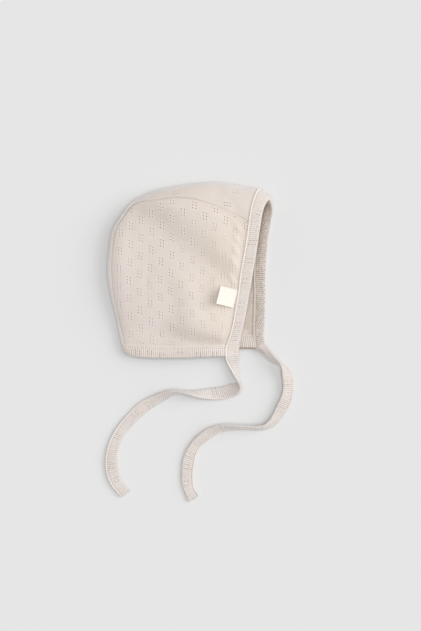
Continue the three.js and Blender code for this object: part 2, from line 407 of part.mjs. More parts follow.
for (const t of range(BACK_STEPS).slice(1)) {   // bend (t = 0) to nape (t = 1)
  const s = stationOf(bendRow) + (stationOf(CROWN.length - 1) - stationOf(bendRow)) * t;
  const turn = THREE.MathUtils.degToRad(track(turnAlong[0], turnAlong[1], s));
  crownGrid.push(section(edgeBack(1 - t), nearBack(1 - t), farBack(1 - t), turn));
}
// its two ends follow the binding and the neck band exactly
function share(points) {
  const at = [0];
  for (let i = 1; i < points.length; i++) at.push(at[i - 1] + points[i].distanceTo(points[i - 1]));
  return at.map((s) => s / at[at.length - 1]);
}
const faceShare = share(crownGrid[0]), napeShare = share(crownGrid[crownGrid.length - 1]);
const faceShift = crownGrid[0].map((p, j) => faceCrown(faceShare[j]).sub(p));
const napeShift = crownGrid[crownGrid.length - 1].map((p, j) => neckNape(napeShare[j]).sub(p));
crownGrid.forEach((row, i) => row.forEach((p, j) => {
  p.addScaledVector(faceShift[j], smooth(1 - i / 5));
  p.addScaledVector(napeShift[j], smooth(1 - (crownGrid.length - 1 - i) / 4));
}));

// ---- strips ---------------------------------------------------------------------------------
function sections(rows, stretches) {
  const out = [];
  for (const [from, to, stations] of stretches) {
    const seam = line(rows, 'seam', from, to), free = line(rows, 'free', from, to);
    for (const t of stations) {
      if (out.length && t === 0) continue;
      out.push({ seam: seam(t), free: free(t) });
    }
  }
  return out;
}
const bindingSections = sections(BINDING, [
  ['near_end', 'near_neck', range(NECK_STEPS)],
  ['near_neck', 'near_temple', range(FACE_STEPS)],
  ['near_temple', 'far_temple', faceShare],
  ['far_temple', 'far_neck', range(FACE_STEPS)],
  ['far_neck', 'far_end', range(NECK_STEPS)],
]);
const neckSections = sections(NECK, [
  ['near_front', 'nape_in', range(TOP_STEPS)],
  ['nape_in', 'far_nape', napeShare],
  ['far_nape', 'far_front', range(TOP_STEPS)],
]);
function tieSections(rows) {
  const seam = line(rows, 'seam'), free = line(rows, 'free');
  return range((rows.length - 1) * TIE_STEPS).map((t) => ({ seam: seam(t), free: free(t) }));
}
// the band stands back from the panels and from the binding at both its ends
function clearBand(list) {
  const out = list.map((s) => ({ seam: s.seam.clone().addScaledVector(s.free.clone().sub(s.seam).normalize(), 2 * GAP), free: s.free.clone() }));
  for (const [end, next] of [[0, 1], [out.length - 1, out.length - 2]]) {
    const step = mix(out[next].seam, out[next].free, 0.5).sub(mix(out[end].seam, out[end].free, 0.5)).normalize();
    out[end].seam.addScaledVector(step, 2 * GAP);
    out[end].free.addScaledVector(step, 2 * GAP);
  }
  return out;
}

// ---- label: a folded tab that follows the panel under it --------------------------------------
function heightAt(x, y) {
  const side = (a, b) => (b.x - a.x) * (y - a.y) - (b.y - a.y) * (x - a.x);
  for (let i = 0; i < nearGrid.length - 1; i++) for (let j = 0; j < nearGrid[0].length - 1; j++) {
    const a = nearGrid[i][j], b = nearGrid[i][j + 1], c = nearGrid[i + 1][j + 1], d = nearGrid[i + 1][j];
    for (const [p, q, r] of [[a, b, c], [a, c, d]]) {
      const w = [side(q, r), side(r, p), side(p, q)];
      if (w.every((s) => s >= 0)) return (w[0] * p.z + w[1] * q.z + w[2] * r.z) / (w[0] + w[1] + w[2]);
    }
  }
  throw new Error('the label reaches past the side panel');
}
const labelGrid = range(LABEL.steps).map((v) => range(LABEL.steps).map((u) => {
  const a = THREE.MathUtils.degToRad(LABEL.turn), dx = (u - 0.5) * LABEL.width, dy = (v - 0.5) * LABEL.height;
  const x = LABEL.x + dx * Math.cos(a) - dy * Math.sin(a), y = LABEL.y + dx * Math.sin(a) + dy * Math.cos(a);
  return V(x, y, heightAt(x, y) + CLOTH / 2 + TAB / 2 + LABEL.lift);
}));

// ---- the bonnet ---------------------------------------------------------------------------------
const knit = 0xddd2c8, rib = 0xdfd3c9, cream = 0xf6f0e4;
const reversed = (grid) => grid.map((row) => [...row].reverse());
const bonnet = new THREE.Group();
bonnet.add(wall('side_panel_near', drawBack(nearGrid, { first: GAP, last: GAP, start: GAP, end: GAP }), CLOTH, knit));
bonnet.add(wall('side_panel_far', reversed(drawBack(farGrid, { first: GAP, last: GAP, start: GAP, end: GAP })), CLOTH, knit));
bonnet.add(wall('centre_panel', drawBack(crownGrid, { first: GAP, last: GAP, start: GAP, end: GAP }), CLOTH, knit));
bonnet.add(strip('face_binding', bindingSections, STRIP, rib));
bonnet.add(strip('neck_band', clearBand(neckSections), BAND, rib));
bonnet.add(strip('tie_near', tieSections(TIE_NEAR), TIE, rib));
bonnet.add(strip('tie_far', tieSections(TIE_FAR), TIE, rib));
bonnet.add(wall('label', labelGrid, TAB, cream));
bonnet.position.x = -MIDDLE_X;
export default bonnet;
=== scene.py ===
"""Looks of the baby bonnet: knitted panels, folded rib strips, ties and tab.

Everything is worked out in millimetres in the tables' own coordinates and is
put into the row frame, in metres, when a mesh is made. The bonnet lies on the
floor z = 0 with its crown towards +Y and its face opening towards +X.
"""
import math

import bpy
import numpy as np
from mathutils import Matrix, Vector


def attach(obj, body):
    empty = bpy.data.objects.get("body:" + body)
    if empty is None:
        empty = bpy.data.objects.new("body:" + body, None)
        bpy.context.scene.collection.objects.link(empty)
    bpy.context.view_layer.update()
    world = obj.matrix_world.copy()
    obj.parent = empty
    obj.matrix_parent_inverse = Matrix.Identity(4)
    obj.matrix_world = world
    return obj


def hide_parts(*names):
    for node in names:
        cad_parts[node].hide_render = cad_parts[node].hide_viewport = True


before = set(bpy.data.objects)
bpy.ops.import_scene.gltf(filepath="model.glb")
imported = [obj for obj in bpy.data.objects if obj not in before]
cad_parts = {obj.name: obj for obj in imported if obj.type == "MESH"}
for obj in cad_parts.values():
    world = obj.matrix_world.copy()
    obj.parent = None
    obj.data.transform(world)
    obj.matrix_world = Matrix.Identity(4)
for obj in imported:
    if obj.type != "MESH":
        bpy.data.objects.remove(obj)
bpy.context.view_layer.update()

# ---- sizes, mm ---------------------------------------------------------------
MIDDLE_X = 0.6        # the tables' zero lies this far left of the frame's origin
GROUND = 0.75         # mid height of cloth that lies flat
RIB = 1.325           # one rib of the knit, across the wales
STEP = RIB / 3        # three mesh columns a rib: one crest, two in the furrow
COURSE = 0.891        # one row of loops
CLUSTER = 7           # ribs from one column of eyelet clusters to the next
REPEAT = 18           # courses from one cluster to the next in a column
CLIMB = 6             # courses that each next column stands higher
OUT, IN = 0.58, 0.36  # the knit's outer and inner face, from the middle surface
CREST, FURROW = 0.06, -0.035        # relief of the panels' ribs
STRIP_RIB = 1.82      # the strips' ribs, pulled wider by the folding and sewing
STRIP_STEP = STRIP_RIB / 4
STRIP_WAVE = (0.20, 0.0, -0.18, 0.0)
RIB_SHADE = (-0.50, 0.0, 0.16, 0.0)

# centre panel, forehead to nape: name, outermost line x y z, near seam x y z,
# far seam x y z, turn at the near seam in degrees
CROWN = [
    ("face", 60.1, 71.5, 11.5, 51.8, 42.2, 20.2, 63, 51, 2, 80),
    ("brow", 50, 73.2, 11, 43.6, 47.3, 20.8, 49.4, 54.9, 0.9, 80),
    ("forehead", 35.6, 76.2, 10.6, 28.9, 54.4, 21.3, 34.8, 60.4, 0.9, 78),
    ("front", 19.5, 78.2, 10.3, 14.2, 59.8, 21.3, 19.5, 63.4, 0.9, 72),
    ("top", 1.6, 76.4, 10, -0.1, 63.2, 20.8, 2.9, 63.6, 0.9, 64),
    ("vertex", -16.3, 73.8, 9.6, -14.8, 63.9, 20, -13.3, 61.9, 0.9, 56),
    ("crown", -31.5, 70.5, 9.2, -30, 62.2, 18.6, -26.8, 58.7, 0.9, 50),
    ("shoulder", -44.1, 65.4, 8.8, -42.1, 60.9, 16, -37.6, 54.2, 0.9, 42),
    ("bend", -53.1, 59.7, 8.5, -51.1, 58, 13.6, -44.8, 48.8, 0.9, 35),
    ("turn", -61.1, 49.8, 8.2, -59.2, 48.4, 13.2, -51.1, 40.7, 0.9, 33),
    ("back_top", -69.8, 35.8, 7.9, -66.7, 34.8, 13, -56, 29.5, 0.9, 33),
    ("back", -73.0, 17.7, 7.5, -69.6, 17.3, 12.6, -58.3, 15.5, 0.9, 33),
    ("back_low", -74.4, -2.1, 7, -70.1, -2.2, 12, -58.7, -2, 0.9, 35),
    ("nape_top", -72.0, -20.9, 6.4, -68.6, -20.6, 11, -56.9, -19.1, 0.9, 36),
    ("nape", -68.1, -38, 5.6, -65.2, -37.5, 9.6, -53.8, -34.8, 0.9, 38),
    ("neck_top", -64.5, -52.4, 4.8, -61.9, -52.3, 8, -50.6, -47.4, 0.9, 40),
    ("neck", -61.7, -64.5, 4, -58.9, -67.8, 6.2, -47.5, -60, 1.8, 45),
]
# face binding, near tie over the crown to far tie: name, seam edge x y z, free edge x y z
BINDING = [
    ("near_end", 31.4, -78.4, 6.4, 43.5, -78.8, 4.4),
    ("near_neck", 31.5, -69.4, 7.2, 43.7, -69.4, 6.2),
    ("near_jaw", 34.2, -61.3, 8.6, 45.2, -60.4, 8),
    ("near_ear", 36.9, -52.3, 10, 47.2, -52.3, 9.8),
    ("near_cheek", 39.4, -38.9, 12.2, 50.1, -38.4, 12),
    ("near_low", 42.1, -22.8, 14.4, 52.9, -21.9, 14.4),
    ("near_mid", 44.3, -5, 16.2, 55.8, -5, 16.2),
    ("near_high", 47.2, 11.9, 17.6, 58.4, 11.1, 17.6),
    ("near_upper", 49.7, 26.2, 18.8, 60.6, 25.7, 18.8),
    ("near_temple", 51.8, 42.2, 20.2, 62.9, 40.4, 20),
    ("near_brow", 53.7, 54.7, 20, 65, 51.6, 20),
    ("near_fold", 56.5, 64.2, 17.4, 67.7, 58.8, 18.4),
    ("fold", 60.1, 71.5, 11.5, 71.4, 62.8, 13.2),
    ("far_fold", 63, 68.5, 5.4, 73.3, 58.5, 7.6),
    ("far_brow", 63.8, 60.9, 2.6, 73.8, 52.4, 3.8),
    ("far_temple", 63, 51, 2, 72.5, 44.3, 2.6),
    ("far_upper", 60.0, 30.2, 1.9, 69.9, 27.6, 2.1),
    ("far_high", 57.6, 12.2, 1.9, 68.4, 11.5, 1.9),
    ("far_mid", 56.5, -4.7, 1.9, 67.4, -4.7, 1.9),
    ("far_low", 56.9, -22.7, 1.9, 67.3, -22.7, 1.9),
    ("far_cheek", 56.4, -39.8, 1.9, 67.2, -39.8, 1.9),
    ("far_ear", 56, -53.3, 1.9, 66.4, -52.9, 1.9),
    ("far_neck", 56.3, -60.5, 1.9, 66.1, -59.6, 1.9),
    ("far_end", 57.9, -69.7, 2.6, 67.2, -65.9, 2.1),
]
# neck band, near binding round the nape to the far binding
NECK = [
    ("near_front", 31.5, -69.4, 7.2, 31.4, -77.8, 6.4),
    ("near_ear", 15.9, -69.5, 9, 15.8, -78.2, 8),
    ("near_mid", -7.3, -70.1, 9.8, -7.4, -79.2, 8.6),
    ("near_back", -30.6, -69.9, 9.2, -30.7, -79.2, 8.4),
    ("near_nape", -48.6, -69.2, 7.8, -48.1, -78.2, 6.8),
    ("nape_in", -58.9, -67.8, 6.2, -56.3, -75.9, 4.8),
    ("nape_edge", -61.7, -64.5, 4, -59, -72.7, 3.4),
    ("nape_out", -56.9, -61.2, 2, -54.4, -69.3, 1.9),
    ("far_nape", -47.5, -60, 1.8, -46.5, -68.7, 1.8),
    ("far_back", -27.2, -60.6, 1.8, -27.2, -69.5, 1.8),
    ("far_mid", 1.5, -61, 1.8, 1.5, -70, 1.8),
    ("far_ear", 32.1, -61, 1.8, 32.1, -70.8, 2.4),
    ("far_front", 56.3, -60.5, 1.9, 58.2, -71.4, 2.8),
]
# ties, from the binding to the cut end: seam edge x y z, free edge x y z
TIE_NEAR = [
    (31.4, -79, 5.0, 43.1, -79.6, 3.6),
    (33.1, -84.4, 4.4, 43.2, -85.4, 2.3),
    (37.0, -91.5, 5.6, 43.7, -91, 1.7),
    (41.7, -99.2, 8.2, 43.8, -97.3, 1.7),
    (45.3, -104.4, 9.8, 43.1, -101.2, 1.7),
    (45.5, -108.4, 9.2, 40.5, -101.9, 1.7),
    (43.2, -111.5, 7.6, 36.3, -102.7, 1.6),
    (37.5, -114.5, 4, 31.8, -104.2, 1.5),
    (28.5, -116.6, 2, 25.3, -105.3, 1.5),
    (16.5, -116.5, 4.6, 14.7, -106.9, 1.6),
    (6.6, -114.4, 8.8, 4.8, -108.3, 1.7),
    (-1.4, -111.5, 11.8, -3.5, -109.2, 1.7),
    (-8.7, -109.2, 12.4, -10, -111, 1.7),
    (-16.5, -108.2, 11.2, -16.1, -113.2, 1.7),
    (-24, -109.5, 8.4, -22.9, -117.3, 1.6),
    (-31.1, -112, 5, -28.5, -120.5, 1.5),
    (-38.5, -115.3, 2.8, -33.7, -123.8, 1.5),
    (-46.7, -120.2, 1.9, -40.2, -128.8, 1.5),
    (-55.3, -128.6, 1.7, -47.7, -135.8, 1.5),
    (-63.6, -138, 1.7, -54.9, -143.6, 1.5),
    (-70.4, -148.4, 1.7, -61.1, -152.2, 1.5),
    (-74.7, -159.6, 1.7, -64.8, -161.5, 1.5),
    (-76.7, -171.1, 1.7, -65.5, -171.4, 1.5),
    (-75.9, -182.1, 1.7, -64.7, -179.7, 1.5),
    (-72.6, -191.8, 1.7, -62.7, -187.6, 1.5),
    (-67.5, -198.8, 1.7, -58.5, -193.4, 1.5),
    (-62.7, -204.2, 1.7, -54, -197.9, 1.5),
]
TIE_FAR = [
    (59.4, -70.8, 3.4, 67.3, -66.6, 2.6),
    (63.7, -75.4, 4.6, 70.4, -70.8, 4.6),
    (68.2, -80.4, 3.8, 73.6, -75.2, 8.2),
    (73.7, -83.6, 2.8, 77.6, -80.0, 10.6),
    (79.6, -85.6, 2.4, 80.9, -84.3, 11.8),
    (84.8, -87.3, 2.8, 82.2, -88.5, 10.4),
    (89.3, -90.6, 2.5, 82.2, -92.6, 7.6),
    (92.0, -95.9, 2.2, 82.6, -96.9, 6.0),
    (92.8, -102.6, 1.9, 83.3, -102.3, 5.3),
    (92.3, -109.6, 1.8, 82.9, -108.6, 5.2),
    (91.2, -117.6, 1.8, 81.1, -114.9, 5.0),
    (87.7, -125.3, 1.8, 77.7, -121.5, 4.5),
    (82.9, -132.9, 1.8, 74.8, -128.2, 4.8),
    (76.4, -139.9, 1.8, 70.9, -134.9, 7),
    (67.9, -143, 1.8, 65.6, -139.6, 9.8),
    (59.1, -143.4, 1.8, 58.2, -140.6, 11.4),
    (50.1, -143.2, 1.8, 49.4, -140.2, 11.8),
    (41.5, -143.4, 1.8, 41, -139.8, 11.4),
    (33.6, -144.3, 1.8, 32.6, -139, 10.2),
    (26.2, -146.7, 1.8, 23.5, -139.8, 8.2),
    (18.5, -151.8, 1.8, 13.2, -143.9, 5),
    (10.7, -158.2, 1.7, 4, -151.5, 3.2),
    (5.9, -165.5, 1.6, -3, -161, 2.2),
    (4.0, -173.7, 1.5, -7.0, -170.6, 1.8),
    (2.7, -181.9, 1.5, -8.0, -180.2, 1.7),
    (2.8, -189.7, 1.5, -8.0, -190, 1.7),
    (3.8, -196.3, 1.5, -6.1, -197.9, 1.7),
    (7.5, -202.2, 1.5, -1.7, -208.8, 1.7),
]

# near side panel: height above the surface its edges span; a row for each
# height (0 neck, 1 crown), columns at RISE_ACROSS from the back to the face
RISE_UP = (0.00, 0.08, 0.20, 0.35, 0.55, 0.75, 0.90, 1.00)
RISE_ACROSS = (0, 0.06, 0.15, 0.30, 0.55, 0.80, 1)
RISE = (
    (0, 0.0, 0.0, 0.0, 0.0, 0.0, 0),
    (0, 0.6, 0.8, 0.8, 0.6, 0.3, 0),
    (0, 1.1, 1.5, 1.7, 1.4, 0.6, 0),
    (0, 1.3, 1.6, 1.7, 1.7, 0.9, 0),
    (0, 1.2, 1.2, 1.0, 0.9, 0.6, 0),
    (0, 1.0, 0.9, 0.6, 0.4, 0.3, 0),
    (0, 0.5, 0.5, 0.3, 0.3, 0.2, 0),
    (0, 0.0, 0.0, 0.0, 0.0, 0.0, 0),
)
# soft folds and swells of the near side panel: middle x y, direction in
# degrees from +X, half length along it, half width across it, height
FOLDS = (
    (30, 34, -60, 24, 10, 0.5),       # swell beside the face
    (10, -44, 4, 30, 9, 1.0),         # swell above the neck band
)
# places where the cloth steps down to the right of the direction: middle x y,
# direction, half length, half width of the slope, reach of the raised side, drop
STEPS = (
    (-12, 37, -37, 42, 14, 25, 3.7),  # from the crown down to the cheek
    (29, 4, -41, 24, 8, 13, 2.3),
    (13, -62, -13, 30, 7, 15, 3.3),   # above the neck band
    (-10, -26, -74, 26, 9, 14, 1.4),  # down the middle
)
# finer creases that the cloth keeps, columns as for the folds
CREASES = (
    (-26, -58, 6, 16, 3.5, -0.3),
    (34, -38, 62, 12, 3.0, -0.25),
    (30, 50, -62, 12, 3.0, -0.35),
    (-38, -6, 84, 18, 4.0, -0.35),
)
# painted shade, and painted light where the amount is below 0, on the near panel's knit; columns as for the folds
PAINTED_SHADE_SPOTS = (
    (-56, 16, 93, 34, 8, -0.55),
    (-24, 50, 0, 32, 10, 0.065),
    (-2, -9, -62, 26, 10, -0.30),
    (-42, -61, 0, 17, 6, -0.30),
    (-2, -58, 0, 48, 7, 0.03),
    (36, -1, -50, 10, 4, 0.05),
    (33.5, -57, 80, 7, 3, 0.05),
    (-18, 44, -30, 20, 9, 0.03),
    (-64, -12, 97, 34, 6, 0.03),
)
# small puckers where the panel is drawn in by the binding seam
PUCKERS = tuple((42.6 - 0.115 * (35 - cy), cy, -58, 6.0, 2.4, 0.85) for cy in (37, 27, 17, 6.5, -9))
# creases of the centre panel's upper side
BROW_CREASES = ((36, 60, -54, 14, 3.8, -0.55), (-20, 66, 4, 18, 3.0, -0.4))


# ---- lines and surfaces ---------------------------------------------------------
def smooth(t):
    s = np.clip(t, 0, 1)
    return s * s * (3 - 2 * s)


class Line:
    """A smooth curve through points, run by its own chord length."""

    def __init__(self, points):
        self.p = np.array(points, float)
        self.at = np.concatenate([[0], np.cumsum(np.linalg.norm(np.diff(self.p, axis=0), axis=1))])
        n = len(self.p)
        a, b = np.maximum(np.arange(n) - 1, 0), np.minimum(np.arange(n) + 1, n - 1)
        self.m = (self.p[b] - self.p[a]) / (self.at[b] - self.at[a])[:, None]

    def on(self, s):
        s = np.asarray(s, float)
        c = np.clip(s, 0, self.at[-1])
        i = np.searchsorted(self.at[1:-1], c, side="left")
        h = self.at[i + 1] - self.at[i]
        t = (c - self.at[i]) / h
        t2, t3 = t * t, t * t * t
        e = lambda k: k[..., None]
        return (e(2 * t3 - 3 * t2 + 1) * self.p[i] + e(h * (t3 - 2 * t2 + t)) * self.m[i]
                + e(-2 * t3 + 3 * t2) * self.p[i + 1] + e(h * (t3 - t2)) * self.m[i + 1]
                + e(np.minimum(s, 0)) * self.m[0] + e(np.maximum(s - self.at[-1], 0)) * self.m[-1])

    def stretch(self, a, b):
        return lambda t: self.on(self.at[a] + (self.at[b] - self.at[a]) * np.asarray(t, float))

    def row(self, q):
        q = np.asarray(q, float)
        i = np.clip(np.floor(q).astype(int), 0, len(self.p) - 2)
        return self.on(self.at[i] + (q - i) * (self.at[i + 1] - self.at[i]))


def track(stations, values, t):
    """Smooth interpolation at t in a table: values is (stations, ...) or (stations, len(t))."""
    x, v = np.array(stations, float), np.array(values, float)
    t = np.asarray(t, float)
    i = np.clip(np.searchsorted(x[1:-1], t, side="left"), 0, len(x) - 2)
    n = len(x)
    a, b = np.maximum(np.arange(n) - 1, 0), np.minimum(np.arange(n) + 1, n - 1)
    m = (v[b] - v[a]) / ((x[b] - x[a]) if v.ndim == 1 else (x[b] - x[a])[:, None])
    h = x[i + 1] - x[i]
    u = np.clip((t - x[i]) / h, 0, 1)
    pick = (lambda k, j: k[j]) if v.ndim == 1 else (lambda k, j: k[j, np.arange(len(t))])
    u2, u3 = u * u, u * u * u
    return (pick(v, i) * (2 * u3 - 3 * u2 + 1) + pick(m, i) * h * (u3 - 2 * u2 + u)
            + pick(v, i + 1) * (-2 * u3 + 3 * u2) + pick(m, i + 1) * h * (u3 - u2))


def span(bottom, top, left, right, u, v):
    """A surface spanned by its four edges; every edge runs 0..1 left to right or up."""
    c00, c10, c01, c11 = bottom(0.0), bottom(1.0), top(0.0), top(1.0)
    a, b = u[..., None], v[..., None]
    return (left(v) * (1 - a) + right(v) * a + bottom(u) * (1 - b) + top(u) * b
            - (c00 * (1 - a) + c10 * a) * (1 - b) - (c01 * (1 - a) + c11 * a) * b)


def lines(rows, first=1, named=True):
    cols = [r[1:] if named else r for r in rows]
    k = (first - 1) * 3
    return Line([r[k:k + 3] for r in cols])


names = [r[0] for r in CROWN]
BEND, NECK_ROW = names.index("bend"), len(CROWN) - 1
edge_line, near_line, far_line = lines(CROWN, 1), lines(CROWN, 2), lines(CROWN, 3)
seam_b, free_b = lines(BINDING, 1), lines(BINDING, 2)
at_b = {r[0]: i for i, r in enumerate(BINDING)}
at_n = {r[0]: i for i, r in enumerate(NECK)}
seam_n, free_n = lines(NECK, 1), lines(NECK, 2)
near_top, near_back = near_line.stretch(BEND, 0), near_line.stretch(NECK_ROW, BEND)
far_top, far_back = far_line.stretch(BEND, 0), far_line.stretch(NECK_ROW, BEND)
face_near = seam_b.stretch(at_b["near_neck"], at_b["near_temple"])
face_far = seam_b.stretch(at_b["far_neck"], at_b["far_temple"])
face_crown = seam_b.stretch(at_b["near_temple"], at_b["far_temple"])
neck_near = seam_n.stretch(at_n["nape_in"], at_n["near_front"])
neck_far = seam_n.stretch(at_n["far_nape"], at_n["far_front"])
neck_nape = seam_n.stretch(at_n["nape_in"], at_n["far_nape"])


def bumps(table, x, y):
    dz = np.zeros_like(x)
    for cx, cy, turn, along, across, height in table:
        a = math.radians(turn)
        dx, dy = x - cx, y - cy
        l = (dx * math.cos(a) + dy * math.sin(a)) / along
        w = (-dx * math.sin(a) + dy * math.cos(a)) / across
        dz += height * np.exp(-l * l - w * w)
    return dz


def steps(table, x, y):
    dz = np.zeros(np.shape(x))
    for cx, cy, turn, along, across, reach, height in table:
        a = math.radians(turn)
        dx, dy = x - cx, y - cy
        l, w = (dx * math.cos(a) + dy * math.sin(a)) / along, -dx * math.sin(a) + dy * math.cos(a)
        up = height * smooth((w + across) / (2 * across)) * np.exp(-(np.maximum(w - across, 0) / reach) ** 2)
        dz += up * np.exp(-l ** 4)
    return dz


def painted_fold_shade(table, x, y):
    """Painted shade: the knit is coloured a little darker where it is drawn into a fold."""
    out = np.zeros(np.shape(x))
    for cx, cy, turn, along, across, reach, height in table:
        a = math.radians(turn)
        dx, dy = x - cx, y - cy
        l, w = (dx * math.cos(a) + dy * math.sin(a)) / along, (-dx * math.sin(a) + dy * math.cos(a)) / (across * 1.1)
        out = np.maximum(out, 0.022 * height * np.exp(-l ** 4 - w * w))
    return out


def near_point(u, v):
    p = span(neck_near, near_top, near_back, face_near, u, v)
    uc, vc = np.clip(u, 0, 1), np.clip(v, 0, 1)
    by_row = np.array([track(RISE_ACROSS, row, uc) for row in RISE])
    edges = smooth(uc / 0.08) * smooth((1 - uc) / 0.08) * smooth(vc / 0.08) * smooth((1 - vc) / 0.08)
    p[..., 2] += track(RISE_UP, by_row, vc) + (bumps(FOLDS, p[..., 0], p[..., 1]) + steps(STEPS, p[..., 0], p[..., 1])) * edges
    p[..., 2] += bumps(CREASES, p[..., 0], p[..., 1]) * edges + bumps(PUCKERS, p[..., 0], p[..., 1]) * smooth((1 - uc) / 0.03)
    return p


def far_point(u, v):
    p = span(neck_far, far_top, far_back, face_far, u, v)
    ring = np.minimum(np.minimum(u, 1 - u), np.minimum(v, 1 - v)) * 18
    p[..., 2] = GROUND + (p[..., 2] - GROUND) * smooth(1 - ring / 1.6)
    return p


def solve(surface, x, y):
    """Heights and outward normals of the surface over the points x, y, by Newton steps in (u, v)."""
    u, v = np.clip((x + 60) / 110, 0, 1), np.clip((y + 68) / 125, 0, 1)
    for step in range(8):
        p = surface(u, v)
        pu, pv = (surface(u + 1e-3, v) - p) * 1e3, (surface(u, v + 1e-3) - p) * 1e3
        if step == 7:
            break
        det = pu[:, 0] * pv[:, 1] - pv[:, 0] * pu[:, 1]
        ex, ey = x - p[:, 0], y - p[:, 1]
        u = np.clip(u + np.clip((pv[:, 1] * ex - pv[:, 0] * ey) / det, -0.2, 0.2), -0.04, 1.04)
        v = np.clip(v + np.clip((pu[:, 0] * ey - pu[:, 1] * ex) / det, -0.2, 0.2), -0.04, 1.04)
    normal = np.cross(pu, pv)
    return p[:, 2], normal / np.linalg.norm(normal, axis=1)[:, None]


# ---- meshes ------------------------------------------------------------------------
def to_metres(p):
    q = np.array(p, float)
    q[..., 0] -= MIDDLE_X
    return q / 1000.0


def mesh_object(name, verts, faces, attributes=None, smooth_shade=True):
    """An object from points in mm and faces as arrays of equal length lists."""
    me = bpy.data.meshes.new(name)
    verts = to_metres(verts)
    polys = [f for f in faces if len(f)]
    count = np.concatenate([np.full(len(f), f.shape[1]) for f in polys])
    loops = np.concatenate([f.ravel() for f in polys])
    me.vertices.add(len(verts))
    me.vertices.foreach_set("co", verts.astype(np.float32).ravel())
    me.loops.add(len(loops))
    me.loops.foreach_set("vertex_index", loops.astype(np.int32))
    me.polygons.add(len(count))
    me.polygons.foreach_set("loop_start", np.concatenate([[0], np.cumsum(count)[:-1]]).astype(np.int32))
    me.polygons.foreach_set("use_smooth", np.full(len(count), smooth_shade))
    for key, values in (attributes or {}).items():
        values = np.asarray(values, np.float32)
        if values.ndim == 2:
            me.attributes.new(key, "FLOAT_VECTOR", "POINT").data.foreach_set("vector", values.ravel())
        else:
            me.attributes.new(key, "FLOAT", "POINT").data.foreach_set("value", values)
    me.update(calc_edges=True)
    me.validate()
    obj = bpy.data.objects.new(name, me)
    bpy.context.scene.collection.objects.link(obj)
    return obj


def cloth_faces(keys, keep):
    """Faces of a grid whose equal keys are one vertex: vertex numbers, first places, quads and triangles."""
    rows, cols = keys.shape[:2]
    flat = np.round(keys.reshape(-1, keys.shape[-1]) * 1000).astype(np.int64)
    _, first, ids = np.unique(flat, axis=0, return_index=True, return_inverse=True)
    ids = ids.reshape(rows, cols)
    a, b, c, d = ids[:-1, :-1], ids[:-1, 1:], ids[1:, 1:], ids[1:, :-1]
    q = np.stack([a, b, c, d], -1)[keep]
    same = np.stack([q[:, k] == q[:, (k + 1) % 4] for k in range(4)], -1)
    cross = (q[:, 0] == q[:, 2]) | (q[:, 1] == q[:, 3])
    n = same.sum(1)
    quads = q[(n == 0) & ~cross]
    tris = []
    for k in range(4):
        pick = q[(n == 1) & same[:, k] & ~cross]
        tris.append(np.stack([pick[:, j % 4] for j in (k, k + 2, k + 3)], -1))
    return ids, first, quads, np.concatenate(tris)


def closed(quads, tris, n):
    """The same faces again inside, turned over, and walls along every open edge."""
    edges = np.concatenate([np.stack([f[:, k], f[:, (k + 1) % f.shape[1]]], -1)
                            for f in (quads, tris) for k in range(f.shape[1])])
    code, back = edges[:, 0] * n + edges[:, 1], edges[:, 1] * n + edges[:, 0]
    open_edges = edges[~np.isin(code, back)]
    a, b = open_edges[:, 0], open_edges[:, 1]
    walls = np.stack([b, a, a + n, b + n], -1)
    return [quads, quads[:, ::-1] + n, walls, tris, tris[:, ::-1] + n]


def tubes(paths, radius, sides=6, ups=None, taper=None):
    """Round threads along paths, each a (k, 3) array in mm, closed at both ends."""
    verts, quads, tris, base = [], [], [], 0
    turn = np.arange(sides) * 2 * math.pi / sides
    for i, path in enumerate(paths):
        k = len(path)
        t = np.gradient(path, axis=0)
        t /= np.linalg.norm(t, axis=1)[:, None] + 1e-12
        up = np.array([0.0, 0, 1]) if ups is None else ups[i]
        if abs(float(t[0] @ up)) > 0.95:
            up = np.array([1.0, 0, 0])
        side = np.cross(t, up)
        side /= np.linalg.norm(side, axis=1)[:, None] + 1e-12
        top = np.cross(side, t)
        r = radius * (np.ones(k) if taper is None else taper(np.linspace(0, 1, k)))
        ring = (path[:, None] + r[:, None, None] * (np.cos(turn)[None, :, None] * side[:, None]
                + np.sin(turn)[None, :, None] * top[:, None])).reshape(-1, 3)
        verts += [ring, path[:1] - t[:1] * r[0] * 0.6, path[-1:] + t[-1:] * r[-1] * 0.6]
        g = base + np.arange(k * sides).reshape(k, sides)
        nx = np.roll(g, -1, axis=1)
        quads.append(np.stack([g[:-1], g[1:], nx[1:], nx[:-1]], -1).reshape(-1, 4))
        head, tail = base + k * sides, base + k * sides + 1
        tris.append(np.stack([np.full(sides, head), g[0], nx[0]], -1))
        tris.append(np.stack([np.full(sides, tail), nx[-1], g[-1]], -1))
        base += k * sides + 2
    return np.concatenate(verts), [np.concatenate(quads), np.concatenate(tris)]


def thread_taper(t):
    return np.interp(t, [0, 0.14, 0.4, 0.6, 0.86, 1], [0.45, 0.85, 1, 1, 0.85, 0.45])


def wobble(seed, x, scale):
    """A small smooth random walk along x, the same each run."""
    rng = np.random.default_rng(seed)
    ph, out = rng.uniform(0, 2 * math.pi, 5), np.zeros_like(np.asarray(x, float))
    for k, p in enumerate(ph):
        out = out + np.sin(np.asarray(x, float) / scale * (1 + 0.62 * k) + p) / (1 + 0.7 * k)
    return out / 2.2


# ---- camera --------------------------------------------------------------------------
camera = bpy.data.objects.new("camera", bpy.data.cameras.new("camera"))
bpy.context.scene.collection.objects.link(camera)
camera.location = (0.01758, -0.04113, 2.0)
camera.rotation_euler = (0, 0, 0)
camera.data.sensor_width = 36.0
camera.data.lens = 126.78
camera.data.clip_end = 20
bpy.context.scene.camera = camera

